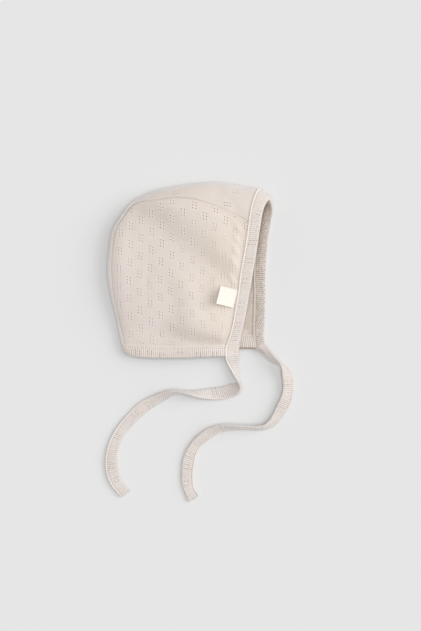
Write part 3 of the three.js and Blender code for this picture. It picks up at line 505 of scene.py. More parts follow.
# ---- the rib strip: binding and both ties as one run ------------------------------------
# its section, from the seam edge: distance in, height where it is sewn round the
# panels, height where it runs free as a tie
BEAD = (
    (0.00, 0.98, 0.40), (0.14, 1.30, 0.72), (0.42, 1.52, 0.95), (0.80, 1.58, 1.03), (1.16, 1.48, 0.97),
    (1.46, 1.20, 0.77), (1.75, 0.96, 0.58), (2.05, 1.02, 0.64), (2.45, 1.18, 0.83), (3.00, 1.29, 0.95),
)
SLOT = ((2.0, 0.00, 0.6, 0.00), (2.0, 0.60, 0.5, 0.03), (1.0, 0.68, 0.3, 0.06), (0.2, 0.70, 0.1, 0.14))
BODY_POINTS = 12
ROUND = ((1.6, 1.28, 0.99), (1.0, 1.16, 0.90), (0.5, 0.94, 0.72), (0.2, 0.66, 0.50), (0.04, 0.33, 0.24))


class Strip:
    """A folded rib strip between a seam line and a free line, as rings of points."""

    def __init__(self, seam, free, stations, sewn, seed):
        self.seam, self.free, self.s = seam, free, stations
        mid = (seam + free) / 2
        along = np.gradient(mid, stations, axis=0)
        self.width = np.linalg.norm(free - seam, axis=1)
        self.w = (free - seam) / self.width[:, None]
        n = np.cross(self.w, along)
        self.n = n / np.linalg.norm(n, axis=1)[:, None]
        self.t = np.cross(self.n, self.w)
        self.mid, self.sewn, self.seed = mid, sewn, seed
        self.heights = None

    def profile(self):
        """(stations, ring, 2) distances from the seam and heights."""
        W, c = self.width[:, None], self.sewn[:, None]
        blend = lambda a, b: a * c + b * (1 - c)
        half_w, half_h = [], []
        for wb, hb, wt, ht in SLOT[1:]:
            half_w.append(blend(wb, wt)); half_h.append(blend(hb, ht))
        for w, hb, ht in BEAD:
            half_w.append(np.full_like(W, w)); half_h.append(blend(hb, ht))
        for k in range(1, BODY_POINTS + 1):
            f = k / (BODY_POINTS + 1)
            half_w.append(3.0 + (W - 4.6) * f)
            crown = 0.06 * math.sin(math.pi * f)
            half_h.append(blend(1.30 + crown, 0.97 + crown))
        for w, hb, ht in ROUND:
            half_w.append(W - w); half_h.append(blend(hb, ht))
        hw, hh = np.concatenate(half_w, 1), np.concatenate(half_h, 1)
        c0 = blend(SLOT[0][0], SLOT[0][2])
        ring_w = np.concatenate([c0, hw, W, hw[:, ::-1]], 1)
        ring_h = np.concatenate([0 * c0, hh, 0 * W, -hh[:, ::-1]], 1)
        return ring_w, ring_h, hw.shape[1]


def strip_mesh(name, strip, lo, hi, relief=1.0, clusters=(), slack_and_shaded_inside=None, band=None, bright_edge=1.55, groove_shade_lines=(1.75,), free_edge_shade=0.0, edge_light=None, shaded=None, edge_shade=None):
    ring_w, ring_h, m = (band or strip.profile)()
    n, k = ring_w.shape
    s = strip.s
    idx = np.arange(n)
    side = np.zeros(k); side[1:m + 1] = 1; side[m + 2:] = -1
    W = strip.width[:, None]
    # ribs across the strip: a crest every fourth station, strongest on the body
    wave = np.array(STRIP_WAVE)[idx % 4][:, None] * relief
    jitter = 1 + 0.25 * wobble(strip.seed, s, 2.3)[:, None]
    body = smooth((ring_w - 1.9) / 0.6)
    inside_slot = np.zeros(k, bool); inside_slot[[0, 1, 2, 3, -1, -2, -3]] = True
    weight = np.where(inside_slot[None], 0, 0.22 + 0.78 * body)
    tw, th = np.roll(ring_w, -1, 1) - np.roll(ring_w, 1, 1), np.roll(ring_h, -1, 1) - np.roll(ring_h, 1, 1)
    size = np.sqrt(tw * tw + th * th) + 1e-9
    height = ring_h + tw / size * wave * jitter * weight
    ring_w = ring_w - th / size * wave * jitter * weight
    # the stitch line in its groove pulls the cloth in at each stitch
    groove = np.exp(-((ring_w - 1.78) / 0.28) ** 2) * (~inside_slot)[None]
    height -= side[None] * groove * 0.13 * (0.5 - 0.5 * np.cos(2 * math.pi * s / 2.4))[:, None]
    # the value built below paints shade above zero and light below zero, and gives the ties their own slightly darker
    # tone
    # the turned edge beside the stitches catches the light
    painted_shade_and_tone = np.where((ring_w < bright_edge) & (~inside_slot)[None], -1.0 if edge_light is None else -edge_light[:, None], 0.075 * (1 - strip.sewn[:, None]))
    # painted shade along the stitch grooves
    for w_line in groove_shade_lines:
        painted_shade_and_tone = np.where((np.abs(ring_w - w_line) < 0.15) & (~inside_slot)[None], 0.50, painted_shade_and_tone)
    # painted shade, growing towards the free edge
    painted_shade_and_tone = painted_shade_and_tone + free_edge_shade * smooth((ring_w - 3.6) / 3.5) * (~inside_slot)[None]
    # shade between the ribs
    each = np.repeat(np.random.default_rng(strip.seed + 70).uniform(0.5, 1.5, n // 4 + 2), 4)[2:n + 2]
    painted_shade_and_tone = painted_shade_and_tone + (np.array(RIB_SHADE)[idx % 4] * each)[:, None] * body * (~inside_slot)[None]
    # painted shade where the far tie starts, strongest near the seam edge
    if shaded is not None:
        painted_shade_and_tone = painted_shade_and_tone + shaded[:, None] * (0.16 + 0.60 * (1 - smooth((ring_w - 0.5) / 4.0)))
    # painted shadow, strongest along the free edge
    if edge_shade is not None:
        painted_shade_and_tone = painted_shade_and_tone + edge_shade[:, None] * (0.13 + 0.80 * smooth((ring_w - (W - 2.2)) / 1.3)) * (~inside_slot)[None]
    if slack_and_shaded_inside is not None:
        # slack loops show as small dips on the strip's inner face, painted dark as shade in the gaps
        spot = slack_and_shaded_inside[:, None] * np.array((0.0, 0.6, 1.0, 0.6))[idx % 4][:, None] * ((side[None] * strip.n[:, 2][:, None] > 0.1)
               & ((np.arange(k)[None] // 2 + (idx // 4)[:, None]) % 2 == 0) & (ring_w > 2.2) & (ring_w < W - 0.4))
        spot = spot * np.clip(np.repeat(np.random.default_rng(strip.seed + 90).uniform(-0.2, 1.5, ((n + 3) // 4, k)), 4, 0)[:n], 0, 1.2)
        height -= side[None] * 0.30 * spot
        painted_shade_and_tone += 0.85 * spot
        inner = slack_and_shaded_inside[:, None] * (side[None] * strip.n[:, 2][:, None] > 0.1)
        # painted shade on the inner face inside the opening: darker near the seam edge, near the top of the opening
        # and beside the near binding
        inner_painted_shade = 0.36 - 0.22 * smooth(ring_w / W) + 0.30 * top_of_opening[:, None]
        inner_painted_shade = inner_painted_shade + 0.32 * beside_near[:, None] * (1 - smooth((ring_w - 2.5) / 5.0))
        painted_shade_and_tone = np.where(inner > 0, np.maximum(painted_shade_and_tone, 0) * (1 - 0.2 * inner) + inner * (inner_painted_shade + 0.30 * spot), painted_shade_and_tone)
    place = strip.seam[:, None] + strip.w[:, None] * ring_w[..., None] + strip.n[:, None] * ring_h[..., None]
    faces_up = (side[None] * strip.n[:, 2][:, None] > 0.15) & (ring_w > 2.6) & (ring_w < W - 0.6)
    # eyelet groups: each hole is a dip, painted dark as the shade inside it
    for cx, cy, count in clusters:
        d = np.hypot(place[..., 0] - cx, place[..., 1] - cy) + np.where(faces_up, 0, 1e3)
        ci, cj = np.unravel_index(np.argmin(d), d.shape)
        if d[ci, cj] > 2.5:
            continue
        face = side[cj]
        for col in (-1, 1):
            i = int(round((ci - 2) / 4)) * 4 + 2 + 4 * col
            for r in ((-1, 0, 1) if count == 3 else (0, 1)):
                w = ring_w[ci, cj] + (r * 3 + (0.5 if col > 0 else 0)) * COURSE
                if not 2 < i < n - 4 or w < 2.6 or w > strip.width[i] - 0.7:
                    continue
                cols = np.where(side == face)[0]
                j = cols[np.argmin(np.abs(ring_w[i, cols] - w))]
                for ii in (i, i + 1):
                    for jj in (j, j + (1 if face > 0 else -1)):
                        height[ii, jj] -= face * 0.65
                        painted_shade_and_tone[ii, jj] = 0.62
    p = (strip.seam[:, None] + strip.w[:, None] * ring_w[..., None] + strip.n[:, None] * height[..., None])
    fabric = np.stack([np.broadcast_to(s[:, None] * RIB / STRIP_RIB, height.shape), ring_w * 1.0 + 0 * height, painted_shade_and_tone * 1.0], -1)
    p, fabric = p[lo:hi + 1], fabric[lo:hi + 1]
    rows = hi - lo + 1
    g = np.arange(rows * k).reshape(rows, k)
    nx = np.roll(g, -1, axis=1)
    quads = np.stack([g[:-1], nx[:-1], nx[1:], g[1:]], -1).reshape(-1, 4)
    cap_q, cap_t = [], []
    for ring, flip in ((g[0], False), (g[-1], True)):
        a, b = ring[1:m + 1], ring[m + 2:][::-1]
        q = np.stack([a[:-1], b[:-1], b[1:], a[1:]], -1)
        t = np.array([[ring[0], b[0], a[0]], [a[-1], b[-1], ring[m + 1]]])
        cap_q.append(q[:, ::-1] if flip else q)
        cap_t.append(t[:, ::-1] if flip else t)
    obj = mesh_object(name, p.reshape(-1, 3), [np.concatenate([quads] + cap_q), np.concatenate(cap_t)],
                      {"fabric": fabric.reshape(-1, 3)})
    return obj


def resample(seam_q, free_q, qs, step, offset=0.0):
    """Even stations, step mm apart along the middle line, from dense parameters."""
    seam, free = seam_q(qs), free_q(qs)
    mid = (seam + free) / 2
    at = np.concatenate([[0], np.cumsum(np.linalg.norm(np.diff(mid, axis=0), axis=1))])
    count = int(at[-1] // step)
    s = np.arange(count + 1) * step + offset
    q = np.interp(s, at, qs)
    return s, q, seam_q(q), free_q(q)


run = [("tie_near", r) for r in reversed(TIE_NEAR[1:])] + [("binding", r[1:]) for r in BINDING] + [("tie_far", r) for r in TIE_FAR[1:]]
run_seam, run_free = Line([r[1][:3] for r in run]), Line([r[1][3:] for r in run])
first_b, last_b = len(TIE_NEAR) - 1, len(TIE_NEAR) - 1 + len(BINDING) - 1
s_run, q_run, seam_run, free_run = resample(run_seam.row, run_free.row, np.linspace(0, len(run) - 1, 9000), STRIP_STEP)
near_joint = int(np.argmin(np.abs(q_run - first_b)) // 4 * 4)
far_joint = int(np.argmin(np.abs(q_run - last_b)) // 4 * 4)
sewn = smooth((s_run - s_run[near_joint]) / 9 + 0.55) * smooth((s_run[far_joint] - s_run) / 9 + 0.55)
rib_run = Strip(seam_run, free_run, s_run, sewn, 11)

# middles of the eyelet groups on the strips' upper faces: x, y, holes in a row
STRIP_EYELETS = (
    (55.0, 23.0, 3), (51.6, 6.5, 3), (61.5, 50.5, 3), (46.0, -9.5, 3), (43.6, -31.0, 3), (40.2, -50.0, 3), (38.0, -62.5, 3), (39.4, -75.5, 2), (58.5, 36.0, 2),
    (61.0, -14.0, 3), (61.0, -38.0, 3), (61.5, 9.0, 3), (63.5, 28.0, 3), (60.5, -2.0, 2),
    (-73.0, -177.4, 3), (-36.3, -120.8, 3), (-53.4, -128.0, 3), (-67.8, -148.7, 3), (-68.0, -190.0, 2), (22.0, -110.0, 3), (-2.0, -112.5, 2),
    (87.6, -101.5, 3), (80.0, -125.3, 3), (8.7, -157.7, 3), (-0.3, -165.8, 3), (-2.1, -178.4, 3), (-4.8, -191.9, 3), (30.0, -142.5, 2),
)
edge_light = 0.15 + 0.85 * smooth((q_run - first_b + 9.0) / 2.5)
tie_near = strip_mesh("cord_tie_near", rib_run, 0, near_joint, clusters=STRIP_EYELETS, edge_light=edge_light)
# where the far binding's inner face is painted with shade: past the fold, more near the top of the opening and beside
# the near binding
past_fold = smooth((q_run - first_b - 12.2) / 1.5) * (1 - smooth((q_run - last_b + 0.5) / 2.0))
top_of_opening = 1 - smooth((q_run - first_b - 13.5) / 2.5)
beside_near = 1 - smooth((q_run - first_b - 16.0) / 2.5)
binding = strip_mesh("binding_face", rib_run, near_joint, far_joint, clusters=STRIP_EYELETS, slack_and_shaded_inside=past_fold)
# painted shade where the far tie starts
start_shade = smooth((q_run - last_b + 0.8) / 0.8) * (1 - smooth((q_run - last_b - 0.8) / 1.6))
tie_far = strip_mesh("cord_tie_far", rib_run, far_joint, len(s_run) - 1, clusters=STRIP_EYELETS, bright_edge=0.5, shaded=start_shade)


# ---- neck band: turned up and sewn with two rows of stitches --------------------------------
LAP = 1.7             # how far the band reaches over the panels, past their seam line
s_neck, q_neck, seam_neck, free_neck = resample(seam_n.row, free_n.row, np.linspace(-0.06, len(NECK) - 0.96, 4000), STRIP_STEP)
seam_neck, free_neck = seam_neck[::-1], free_neck[::-1]
back = (seam_neck - free_neck) / np.linalg.norm(seam_neck - free_neck, axis=1)[:, None]
neck_strip = Strip(seam_neck + back * LAP, free_neck, s_neck, np.ones(len(s_neck)), 23)
# section of the band: distance from its upper edge, height
HEM = (
    (0.00, 0.74), (0.08, 0.92), (0.35, 1.02), (0.75, 1.02), (1.05, 0.88), (1.35, 0.72), (1.65, 0.88), (2.00, 1.06),
    (2.40, 1.08), (2.75, 0.92), (3.05, 0.76), (3.35, 0.92), (3.80, 1.10),
)
HEM_SLOT = ((2.6, 0.0), (2.6, 0.66), (1.4, 0.70), (0.2, 0.71))


def hem_profile():
    W = neck_strip.width[:, None]
    one = np.ones_like(W)
    hw = [one * w for w, _ in HEM_SLOT[1:]] + [one * w for w, _ in HEM]
    hh = [one * h for _, h in HEM_SLOT[1:]] + [one * h for _, h in HEM]
    for k in range(1, 8):
        f = k / 8
        hw.append(3.8 + (W - 5.4) * f); hh.append(one * (1.10 + 0.08 * math.sin(math.pi * f)))
    for w, h, _ in ROUND:
        hw.append(W - w); hh.append(one * h * 0.92)
    hw, hh = np.concatenate(hw, 1), np.concatenate(hh, 1)
    ring_w = np.concatenate([one * HEM_SLOT[0][0], hw, W, hw[:, ::-1]], 1)
    ring_h = np.concatenate([0 * one, hh, 0 * W, -hh[:, ::-1]], 1)
    return ring_w, ring_h, hw.shape[1]


BAND_EYELETS = ((-37.5, -72.5, 2), (-25.0, -75.5, 2), (-9.0, -71.0, 2), (7.5, -74.5, 2), (-48.0, -72.0, 2), (22.0, -74.0, 2),
                (-20.0, -66.0, 2), (10.0, -66.0, 2), (44.0, -65.5, 2))
# painted shadow along the band's free edge at its far end
far_end_shade = smooth((q_neck[::-1] - at_n["far_mid"] - 0.3) / 0.6)
neck_band = strip_mesh("band_neck", neck_strip, 0, len(s_neck) - 1, clusters=BAND_EYELETS, band=hem_profile, bright_edge=0.5, groove_shade_lines=(1.35, 3.05), free_edge_shade=0.13, edge_shade=far_end_shade)

REVERSE_AND_HOLLOW_SHADE = 0.18        # how much darker the knit's inner side is coloured: partly its duller reverse, partly painted shade for the hollow inside
SEAM_SHADE = 0.38     # painted shade on the cloth drawn into a seam
# ---- side panels -------------------------------------------------------------------------------
T = np.linspace(0, 1, 500)


def curve_xy(fn):
    return fn(T)


class Outline:
    """The panel's four edges: left and right as x over y, bottom and top as y over x."""

    def __init__(self, bottom, top, left, right, into_face, into_neck):
        b, t, l, r = (curve_xy(f) for f in (bottom, top, left, right))
        self.b, self.t, self.l, self.r = b, t, l, r
        self.into_face, self.into_neck = into_face, into_neck

    def left(self, y): return np.interp(y, self.l[:, 1], self.l[:, 0])
    def right(self, y): return np.interp(y, self.r[:, 1], self.r[:, 0]) + self.into_face
    def bottom(self, x): return np.interp(x, self.b[:, 0], self.b[:, 1]) - self.into_neck
    def top(self, x): return np.interp(x, self.t[:, 0], self.t[:, 1])


def course_drift(xw):
    """How far the courses climb towards the face."""
    return 0.030 * (xw + 60) + 2.4 * smooth((xw + 12) / 40)


def wale_drift(xw, y):
    """How far the wales sway from straight."""
    w = np.interp(y, [-70, -58, -38, -18, 8, 36, 64], [0.9, 0.5, -0.6, -1.1, -0.2, 0.9, 0.5])
    w = w + 1.3 * smooth((-52 - y) / 20) * smooth((-30 - xw) / 30)
    w = w + 1.8 * smooth((y - 28) / 25) * smooth((xw + 12) / 25)
    return w + 0.25 * np.sin(y / 9.0 + xw / 40)


def nearest(points, curve, block=4000):
    """Distance from each xy point to a densely sampled curve."""
    out = np.empty(len(points))
    c = curve[:, :2]
    for i in range(0, len(points), block):
        p = points[i:i + block, :2]
        out[i:i + block] = np.sqrt(((p[:, None] - c[None]) ** 2).sum(-1).min(1))
    return out


def seam_depth(p):
    """How deep the seam lies, by how far back or forward it is: deep at the back bend, faint over the brow."""
    along = np.interp(p[..., 0], [-66, -60, -52, -46, -38, -22, 0, 10, 20, 34, 42, 50], [0.9, 1.5, 1.7, 1.4, 0.7, 0.9, 0.8, 0.35, 0.05, 0.05, 0.35, 0.5])
    return np.where(p[..., 1] < 20, 0.30, along)


def side_panel(name, outline, surface, up, seed):
    """up = 1 where the outside faces the sky, -1 where it lies on the ground."""
    lo_x, hi_x = outline.l[:, 0].min() - 3, outline.r[:, 0].max() + 3
    lo_y, hi_y = min(outline.b[:, 1].min(), outline.bottom(0)) - 8, outline.t[:, 1].max() + 3
    j0, j1 = int(math.floor(lo_x / STEP)), int(math.ceil(hi_x / STEP))
    i0, i1 = int(math.floor(lo_y / COURSE)), int(math.ceil(hi_y / COURSE))
    cols, rows = np.arange(j0, j1 + 1), np.arange(i0, i1 + 1)
    xw, yr = cols * STEP, rows * COURSE
    # the side edges, row by row
    ends = []
    for fn in (outline.left, outline.right):
        x = np.full(len(yr), -60.0 if fn == outline.left else 45.0)
        for _ in range(25):
            y = yr + course_drift(x)
            x = fn(y) - wale_drift(x, y)
        ends.append(x)
    XW = np.broadcast_to(xw[None], (len(yr), len(xw))).copy()
    snap = 0.35 * STEP
    XW = np.where(XW < ends[0][:, None] + snap, ends[0][:, None], XW)
    XW = np.where(XW > ends[1][:, None] - snap, ends[1][:, None], XW)
    YR = np.broadcast_to(yr[:, None], XW.shape).copy()
    for fn, sign in ((outline.top, 1), (outline.bottom, -1)):
        y = np.full(XW.shape, 60.0 * sign)
        for _ in range(25):
            y = fn(XW + wale_drift(XW, y))
        limit = y - course_drift(XW)
        YR = np.where((YR - limit) * sign > -0.3 * COURSE, limit, YR)
    keys = np.stack([XW, YR], -1)
    free = np.isclose(XW, xw[None], atol=1e-6) & np.isclose(YR, yr[:, None], atol=1e-6)
    # eyelets: three, one above the other, in each of two columns two ribs apart
    keep = np.ones((len(yr) - 1, len(xw) - 1), bool)
    shift = np.zeros(XW.shape + (2,))
    lift, eyelet_light_shade = np.zeros(XW.shape), np.zeros(XW.shape)
    rng = np.random.default_rng(seed)
    for k in range(-8, 12):
        rib0 = 7 * k - 20
        for n in range(-9, 9):
            mid = 7 + CLIMB * k + REPEAT * n
            for col, drop in ((-1, 0), (1, 1)):
                for r in (-3, 0, 3):
                    i, j = mid + r - drop - i0, (rib0 + col) * 3 + 1 - j0
                    if not (1 < i < len(yr) - 3 and 1 < j < len(xw) - 3) or not free[i - 1:i + 3, j - 1:j + 3].all():
                        continue
                    keep[i, j] = False
                    by_crown = smooth((YR[i, j] + course_drift(XW[i, j]) - np.interp(XW[i, j], [-40, 0, 14, 29, 44], [40, 43, 40, 34, 27])) / 8)
                    slack = 1 - 0.55 * smooth((XW[i, j] - 4) / 14) * (1 - by_crown) if up > 0 else 1
                    g = rng.uniform(0.13, 0.18) * slack - 0.06 * (1 - slack)
                    lift[i:i + 2, j - 1] += 0.07 * slack
                    lift[i:i + 2, j + 2] += 0.07 * slack
                    # painted light on the rims round each eyelet, painted shade at its corners
                    eyelet_light_shade[i - 1, j:j + 2] = eyelet_light_shade[i + 2, j:j + 2] = -1.0 * slack
                    eyelet_light_shade[i:i + 2, j - 1] = eyelet_light_shade[i:i + 2, j + 2] = -1.5 * slack
                    eyelet_light_shade[i:i + 2, j:j + 2] = 0.15 * slack + 0.35 * by_crown
                    shift[i:i + 2, j, 0] -= g
                    shift[i:i + 2, j + 1, 0] += g
                    shift[i, j:j + 2, 1] += 0.11
                    shift[i + 1, j:j + 2, 1] -= 0.11
    Y = YR + course_drift(XW)
    X = XW + wale_drift(XW, Y)
    X, Y = X + shift[..., 0], Y + shift[..., 1]
    ids, first, quads, tris = cloth_faces(keys, keep)
    x, y = X.ravel()[first], Y.ravel()[first]
    z, normal = solve(surface, x, y)
    base = np.stack([x, y, z], -1)
    # ribs, and the roll of the edges into the seams
    jj = np.broadcast_to((cols % 3)[None], XW.shape).ravel()[first]
    on_grid = free.ravel()[first]
    relief = np.where(on_grid, np.where(jj == 0, CREST, FURROW), 0.0)
    relief = relief * (1 + 0.15 * wobble(seed, y + 3.1 * x, 9.0)) + lift.ravel()[first]
    seam = np.concatenate([outline.t, outline.l])
    d = nearest(base, seam)
    roll = np.maximum(0, 1 - d / 1.5) ** 2 * seam_depth(base)
    relief *= smooth(d / 1.0)
    n = len(x)
    turn = 1.0 if up > 0 else -1.0
    outer = base + normal * turn * (OUT + relief - roll)[:, None]
    inner = base + normal * turn * (-IN + 0.6 * relief - roll * 0.8)[:, None]
    if up < 0:
        outer[:, 2] = np.maximum(outer[:, 2], 0.01)
    # painted shade along the seams, painted light and shade round the eyelets
    shade = eyelet_light_shade.ravel()[first] + SEAM_SHADE * seam_depth(base) * np.maximum(0, 1 - d / np.where(seam_depth(base) > 0.95, 1.5, 0.9))
    if up > 0:
        # painted shade in the folds and at the listed spots, painted light at the paler spots and on the puckers
        shade = shade + painted_fold_shade(STEPS, x, y) + bumps(PAINTED_SHADE_SPOTS, x, y) - 0.45 * bumps(PUCKERS, x, y)
    fabric = np.stack([XW.ravel()[first], YR.ravel()[first], shade], -1)
    verts = np.concatenate([outer, inner])
    faces = closed(quads, tris, n)
    if up < 0:
        faces = [f[:, ::-1] for f in faces]
    # inner faces: the duller reverse of the knit and painted shade of the hollow
    reverse = fabric + np.array([0, 0, REVERSE_AND_HOLLOW_SHADE])
    return mesh_object(name, verts, faces, {"fabric": np.concatenate([fabric, reverse])})


near_outline = Outline(neck_near, near_top, near_back, face_near, 1.4, 0.6)
far_outline = Outline(neck_far, far_top, far_back, face_far, 1.4, 0.6)
panel_near = side_panel("panel_near_knit", near_outline, near_point, 1, 31)
panel_far = side_panel("panel_far_knit", far_outline, far_point, -1, 32)


# ---- centre panel ----------------------------------------------------------------------------------
def centre_rows(tau, angles_near=34, angles_far=26):
    """Sections of the centre panel at places tau: 0 face, 1 back bend, 2 nape."""
    out = []
    plan = np.array([r[1:3] for r in CROWN], float)
    station = np.concatenate([[0], np.cumsum(np.linalg.norm(np.diff(plan, axis=0), axis=1))])
    turns = [r[10] for r in CROWN]
    for t in tau:
        if t <= 1:
            f = 1 - t
            edge, near, far = edge_line.stretch(BEND, 0)(f), near_top(f), far_top(f)
            s = station[BEND] * t
        else:
            f = 2 - t
            edge, near, far = edge_line.stretch(NECK_ROW, BEND)(f), near_back(f), far_back(f)
            s = station[BEND] + (station[-1] - station[BEND]) * (t - 1)
        turn = math.radians(float(track(station, turns, np.array([s]))[0]))
        inward = (near + far) / 2 - edge
        inward[2] = 0
        inward /= np.linalg.norm(inward)
        start = edge + inward * GROUND
        a = turn * (1 - np.arange(angles_near) / angles_near)
        d = (1 - np.cos(a)) / (1 - math.cos(turn))
        upper = start + (near - start) * d[:, None]
        upper[:, 2] = start[2] + (near[2] - start[2]) * np.sin(a) / math.sin(turn)
        a = math.pi / 2 * np.arange(angles_far + 1) / angles_far
        lower = start + (far - start) * (1 - np.cos(a))[:, None]
        lower[:, 2] = start[2] - (start[2] - far[2]) * np.sin(a)
        out.append(np.concatenate([upper, lower]))
    return np.array(out)


def shares(points):
    at = np.concatenate([[0], np.cumsum(np.linalg.norm(np.diff(points, axis=0), axis=1))])
    return at / at[-1]


dense = np.linspace(0, 2, 801)
P = centre_rows(dense)
face_shift = face_crown(shares(P[0])) - P[0]
nape_shift = neck_nape(shares(P[-1])) - P[-1]
P += face_shift[None] * smooth(1 - dense * 18 / 5)[:, None, None]
P += nape_shift[None] * smooth(1 - (2 - dense) * 18 / 4)[:, None, None]
MIDDLE = 34           # the column on the outermost line
run_edge = np.concatenate([[0], np.cumsum(np.linalg.norm(np.diff(P[:, MIDDLE], axis=0), axis=1))])
long_c = run_edge[-1]
s_rows = np.concatenate([[-1.4, -0.7], np.arange(0, int(long_c / COURSE)) * COURSE, [long_c, long_c + 0.6]])
inside = np.clip(s_rows, 0, long_c)
rows_c = np.stack([[np.interp(inside, run_edge, P[:, a, c]) for c in range(3)] for a in range(P.shape[1])], 0).transpose(2, 0, 1)
start_dir = rows_c[2] - rows_c[3]
start_dir /= np.linalg.norm(start_dir, axis=1)[:, None]
end_dir = rows_c[-2] - rows_c[-4]
end_dir /= np.linalg.norm(end_dir, axis=1)[:, None]
rows_c[0] = rows_c[2] + start_dir * 1.4
rows_c[1] = rows_c[2] + start_dir * 0.7
rows_c[-1] = rows_c[-2] + end_dir * 0.6
ta = np.gradient(rows_c, s_rows, axis=0)
tw = np.gradient(rows_c, axis=1)
nc = np.cross(tw, ta)
nc /= np.linalg.norm(nc, axis=2)[:, :, None]
out_dir = rows_c[len(rows_c) // 3, MIDDLE] * np.array([1, 1, 0])
if (nc[len(rows_c) // 3, MIDDLE] @ out_dir) < 0:
    nc = -nc
seg = np.linalg.norm(np.diff(rows_c, axis=1), axis=2)
across = np.concatenate([np.zeros((len(rows_c), 1)), np.cumsum(seg, axis=1)], 1)
across = across[:, MIDDLE][:, None] - across      # towards the near seam is positive
w_hi, w_lo = across[:, 0], across[:, -1]
k0, k1 = int(math.floor(w_lo.min() / STEP)) - 1, int(math.ceil(w_hi.max() / STEP)) + 1
cols_c = np.arange(k0, k1 + 1)
W = np.broadcast_to((cols_c * STEP)[None], (len(s_rows), len(cols_c))).copy()
W = np.where(W > w_hi[:, None] - 0.35 * STEP, w_hi[:, None], W)
W = np.where(W < w_lo[:, None] + 0.35 * STEP, w_lo[:, None], W)
free_c = np.isclose(W, (cols_c * STEP)[None], atol=1e-6)
keep = np.ones((len(s_rows) - 1, len(cols_c) - 1), bool)
shift_w = np.zeros(W.shape)
rng = np.random.default_rng(40)
CENTRE_EYELETS = ((-34.8, 65.6), (-12.6, 69.6), (33.4, 59.0), (40.5, 70.0), (-66.5, 47.0))
flat_xy = np.stack([[np.interp(W[i], across[i, ::-1], rows_c[i, ::-1, c]) for i in range(len(s_rows))] for c in range(3)], -1)
groups = []
for cx, cy in CENTRE_EYELETS:
    d = np.hypot(flat_xy[..., 0] - cx, flat_xy[..., 1] - cy) + np.where(W >= -1.0, 0, 50.0)
    i, j = np.unravel_index(np.argmin(d), d.shape)
    groups.append((i, int(round((j + k0) / 3))))
for k in range(-8, 1):
    groups += [(6 + CLIMB * (k % 3) + REPEAT * n, 7 * k - 5) for n in range(40)]
for mid, rib0 in groups:
    for col, drop in ((-1, 0), (1, 1)):
        for r in (-3, 0, 3):
            i, j = mid + r - drop, (rib0 + col) * 3 + 1 - k0
            if not (4 < i < len(s_rows) - 6 and 1 < j < len(cols_c) - 3) or not free_c[i - 1:i + 3, j - 1:j + 3].all():
                continue
            keep[i, j] = False
            g = rng.uniform(0.06, 0.11)
            shift_w[i:i + 2, j] -= g
            shift_w[i:i + 2, j + 1] += g
pos, nor = np.empty(W.shape + (3,)), np.empty(W.shape + (3,))
for i in range(len(s_rows)):
    a = across[i, ::-1]
    for c in range(3):
        pos[i, :, c] = np.interp(W[i] + shift_w[i], a, rows_c[i, ::-1, c])
        nor[i, :, c] = np.interp(W[i], a, nc[i, ::-1, c])
nor /= np.linalg.norm(nor, axis=2)[:, :, None]
keys = np.stack([np.broadcast_to(s_rows[:, None], W.shape), W], -1)
ids, first, quads, tris = cloth_faces(keys, keep)
n = len(first)
base, normal = pos.reshape(-1, 3)[first], nor.reshape(-1, 3)[first]
jj = np.broadcast_to((cols_c % 3)[None], W.shape).ravel()[first]
relief = np.where(free_c.ravel()[first], np.where(jj == 0, CREST, FURROW), 0.0)
row_of = np.broadcast_to(np.arange(len(s_rows))[:, None], W.shape).ravel()[first]
d = np.minimum(w_hi[row_of] - W.ravel()[first], W.ravel()[first] - w_lo[row_of])
relief *= smooth(d / 1.0)
roll = np.maximum(0, 1 - d / 1.5) ** 2 * seam_depth(base)
crease = bumps(BROW_CREASES, base[:, 0], base[:, 1]) * smooth((normal[:, 2] - 0.1) / 0.5)
outer = base + normal * (OUT + relief - roll + crease)[:, None]
inner = base + normal * (-IN + 0.6 * relief - 0.8 * roll + crease)[:, None]
outer[:, 2] = np.maximum(outer[:, 2], 0.01)
faces = closed(quads, tris, n)
a, b, c = outer[quads[:, 0]], outer[quads[:, 1]], outer[quads[:, 2]]
if (np.cross(b - a, c - a) * normal[quads[:, 0]]).sum() < 0:
    faces = [f[:, ::-1] for f in faces]
# painted shade along the seams and in three soft spots on the crown's upper side; painted light on the left part of
# the outermost rim
shade = SEAM_SHADE * seam_depth(base) * np.maximum(0, 1 - d / 0.9)
shade = shade + 0.06 * np.exp(-((base[:, 0] + 18) / 24) ** 2 - ((base[:, 1] - 66) / 7) ** 2) * (normal[:, 2] > 0)
shade = shade - 1.6 * smooth((-44 - base[:, 0]) / 10) * (d > 0.9) * (W.ravel()[first] > -3.0)
shade = shade + 0.11 * np.exp(-((base[:, 0] - 28.5) / 4.5) ** 2 - ((base[:, 1] - 68) / 10) ** 2) * (normal[:, 2] > 0)
shade = shade + 0.07 * np.exp(-((base[:, 0] + 18) / 15) ** 2 - ((base[:, 1] - 66) / 12) ** 2) * (normal[:, 2] > 0)
fabric = np.stack([W.ravel()[first], keys[..., 0].ravel()[first], shade], -1)
panel_centre = mesh_object("panel_centre_knit", np.concatenate([outer, inner]), faces, {"fabric": np.concatenate([fabric, fabric])})

# ---- label: a bare woven tab folded over and caught in the binding seam -----------------------------
LABEL = dict(x=32.9, y=-24.6, width=15.4, height=16.7, turn=-14.5)


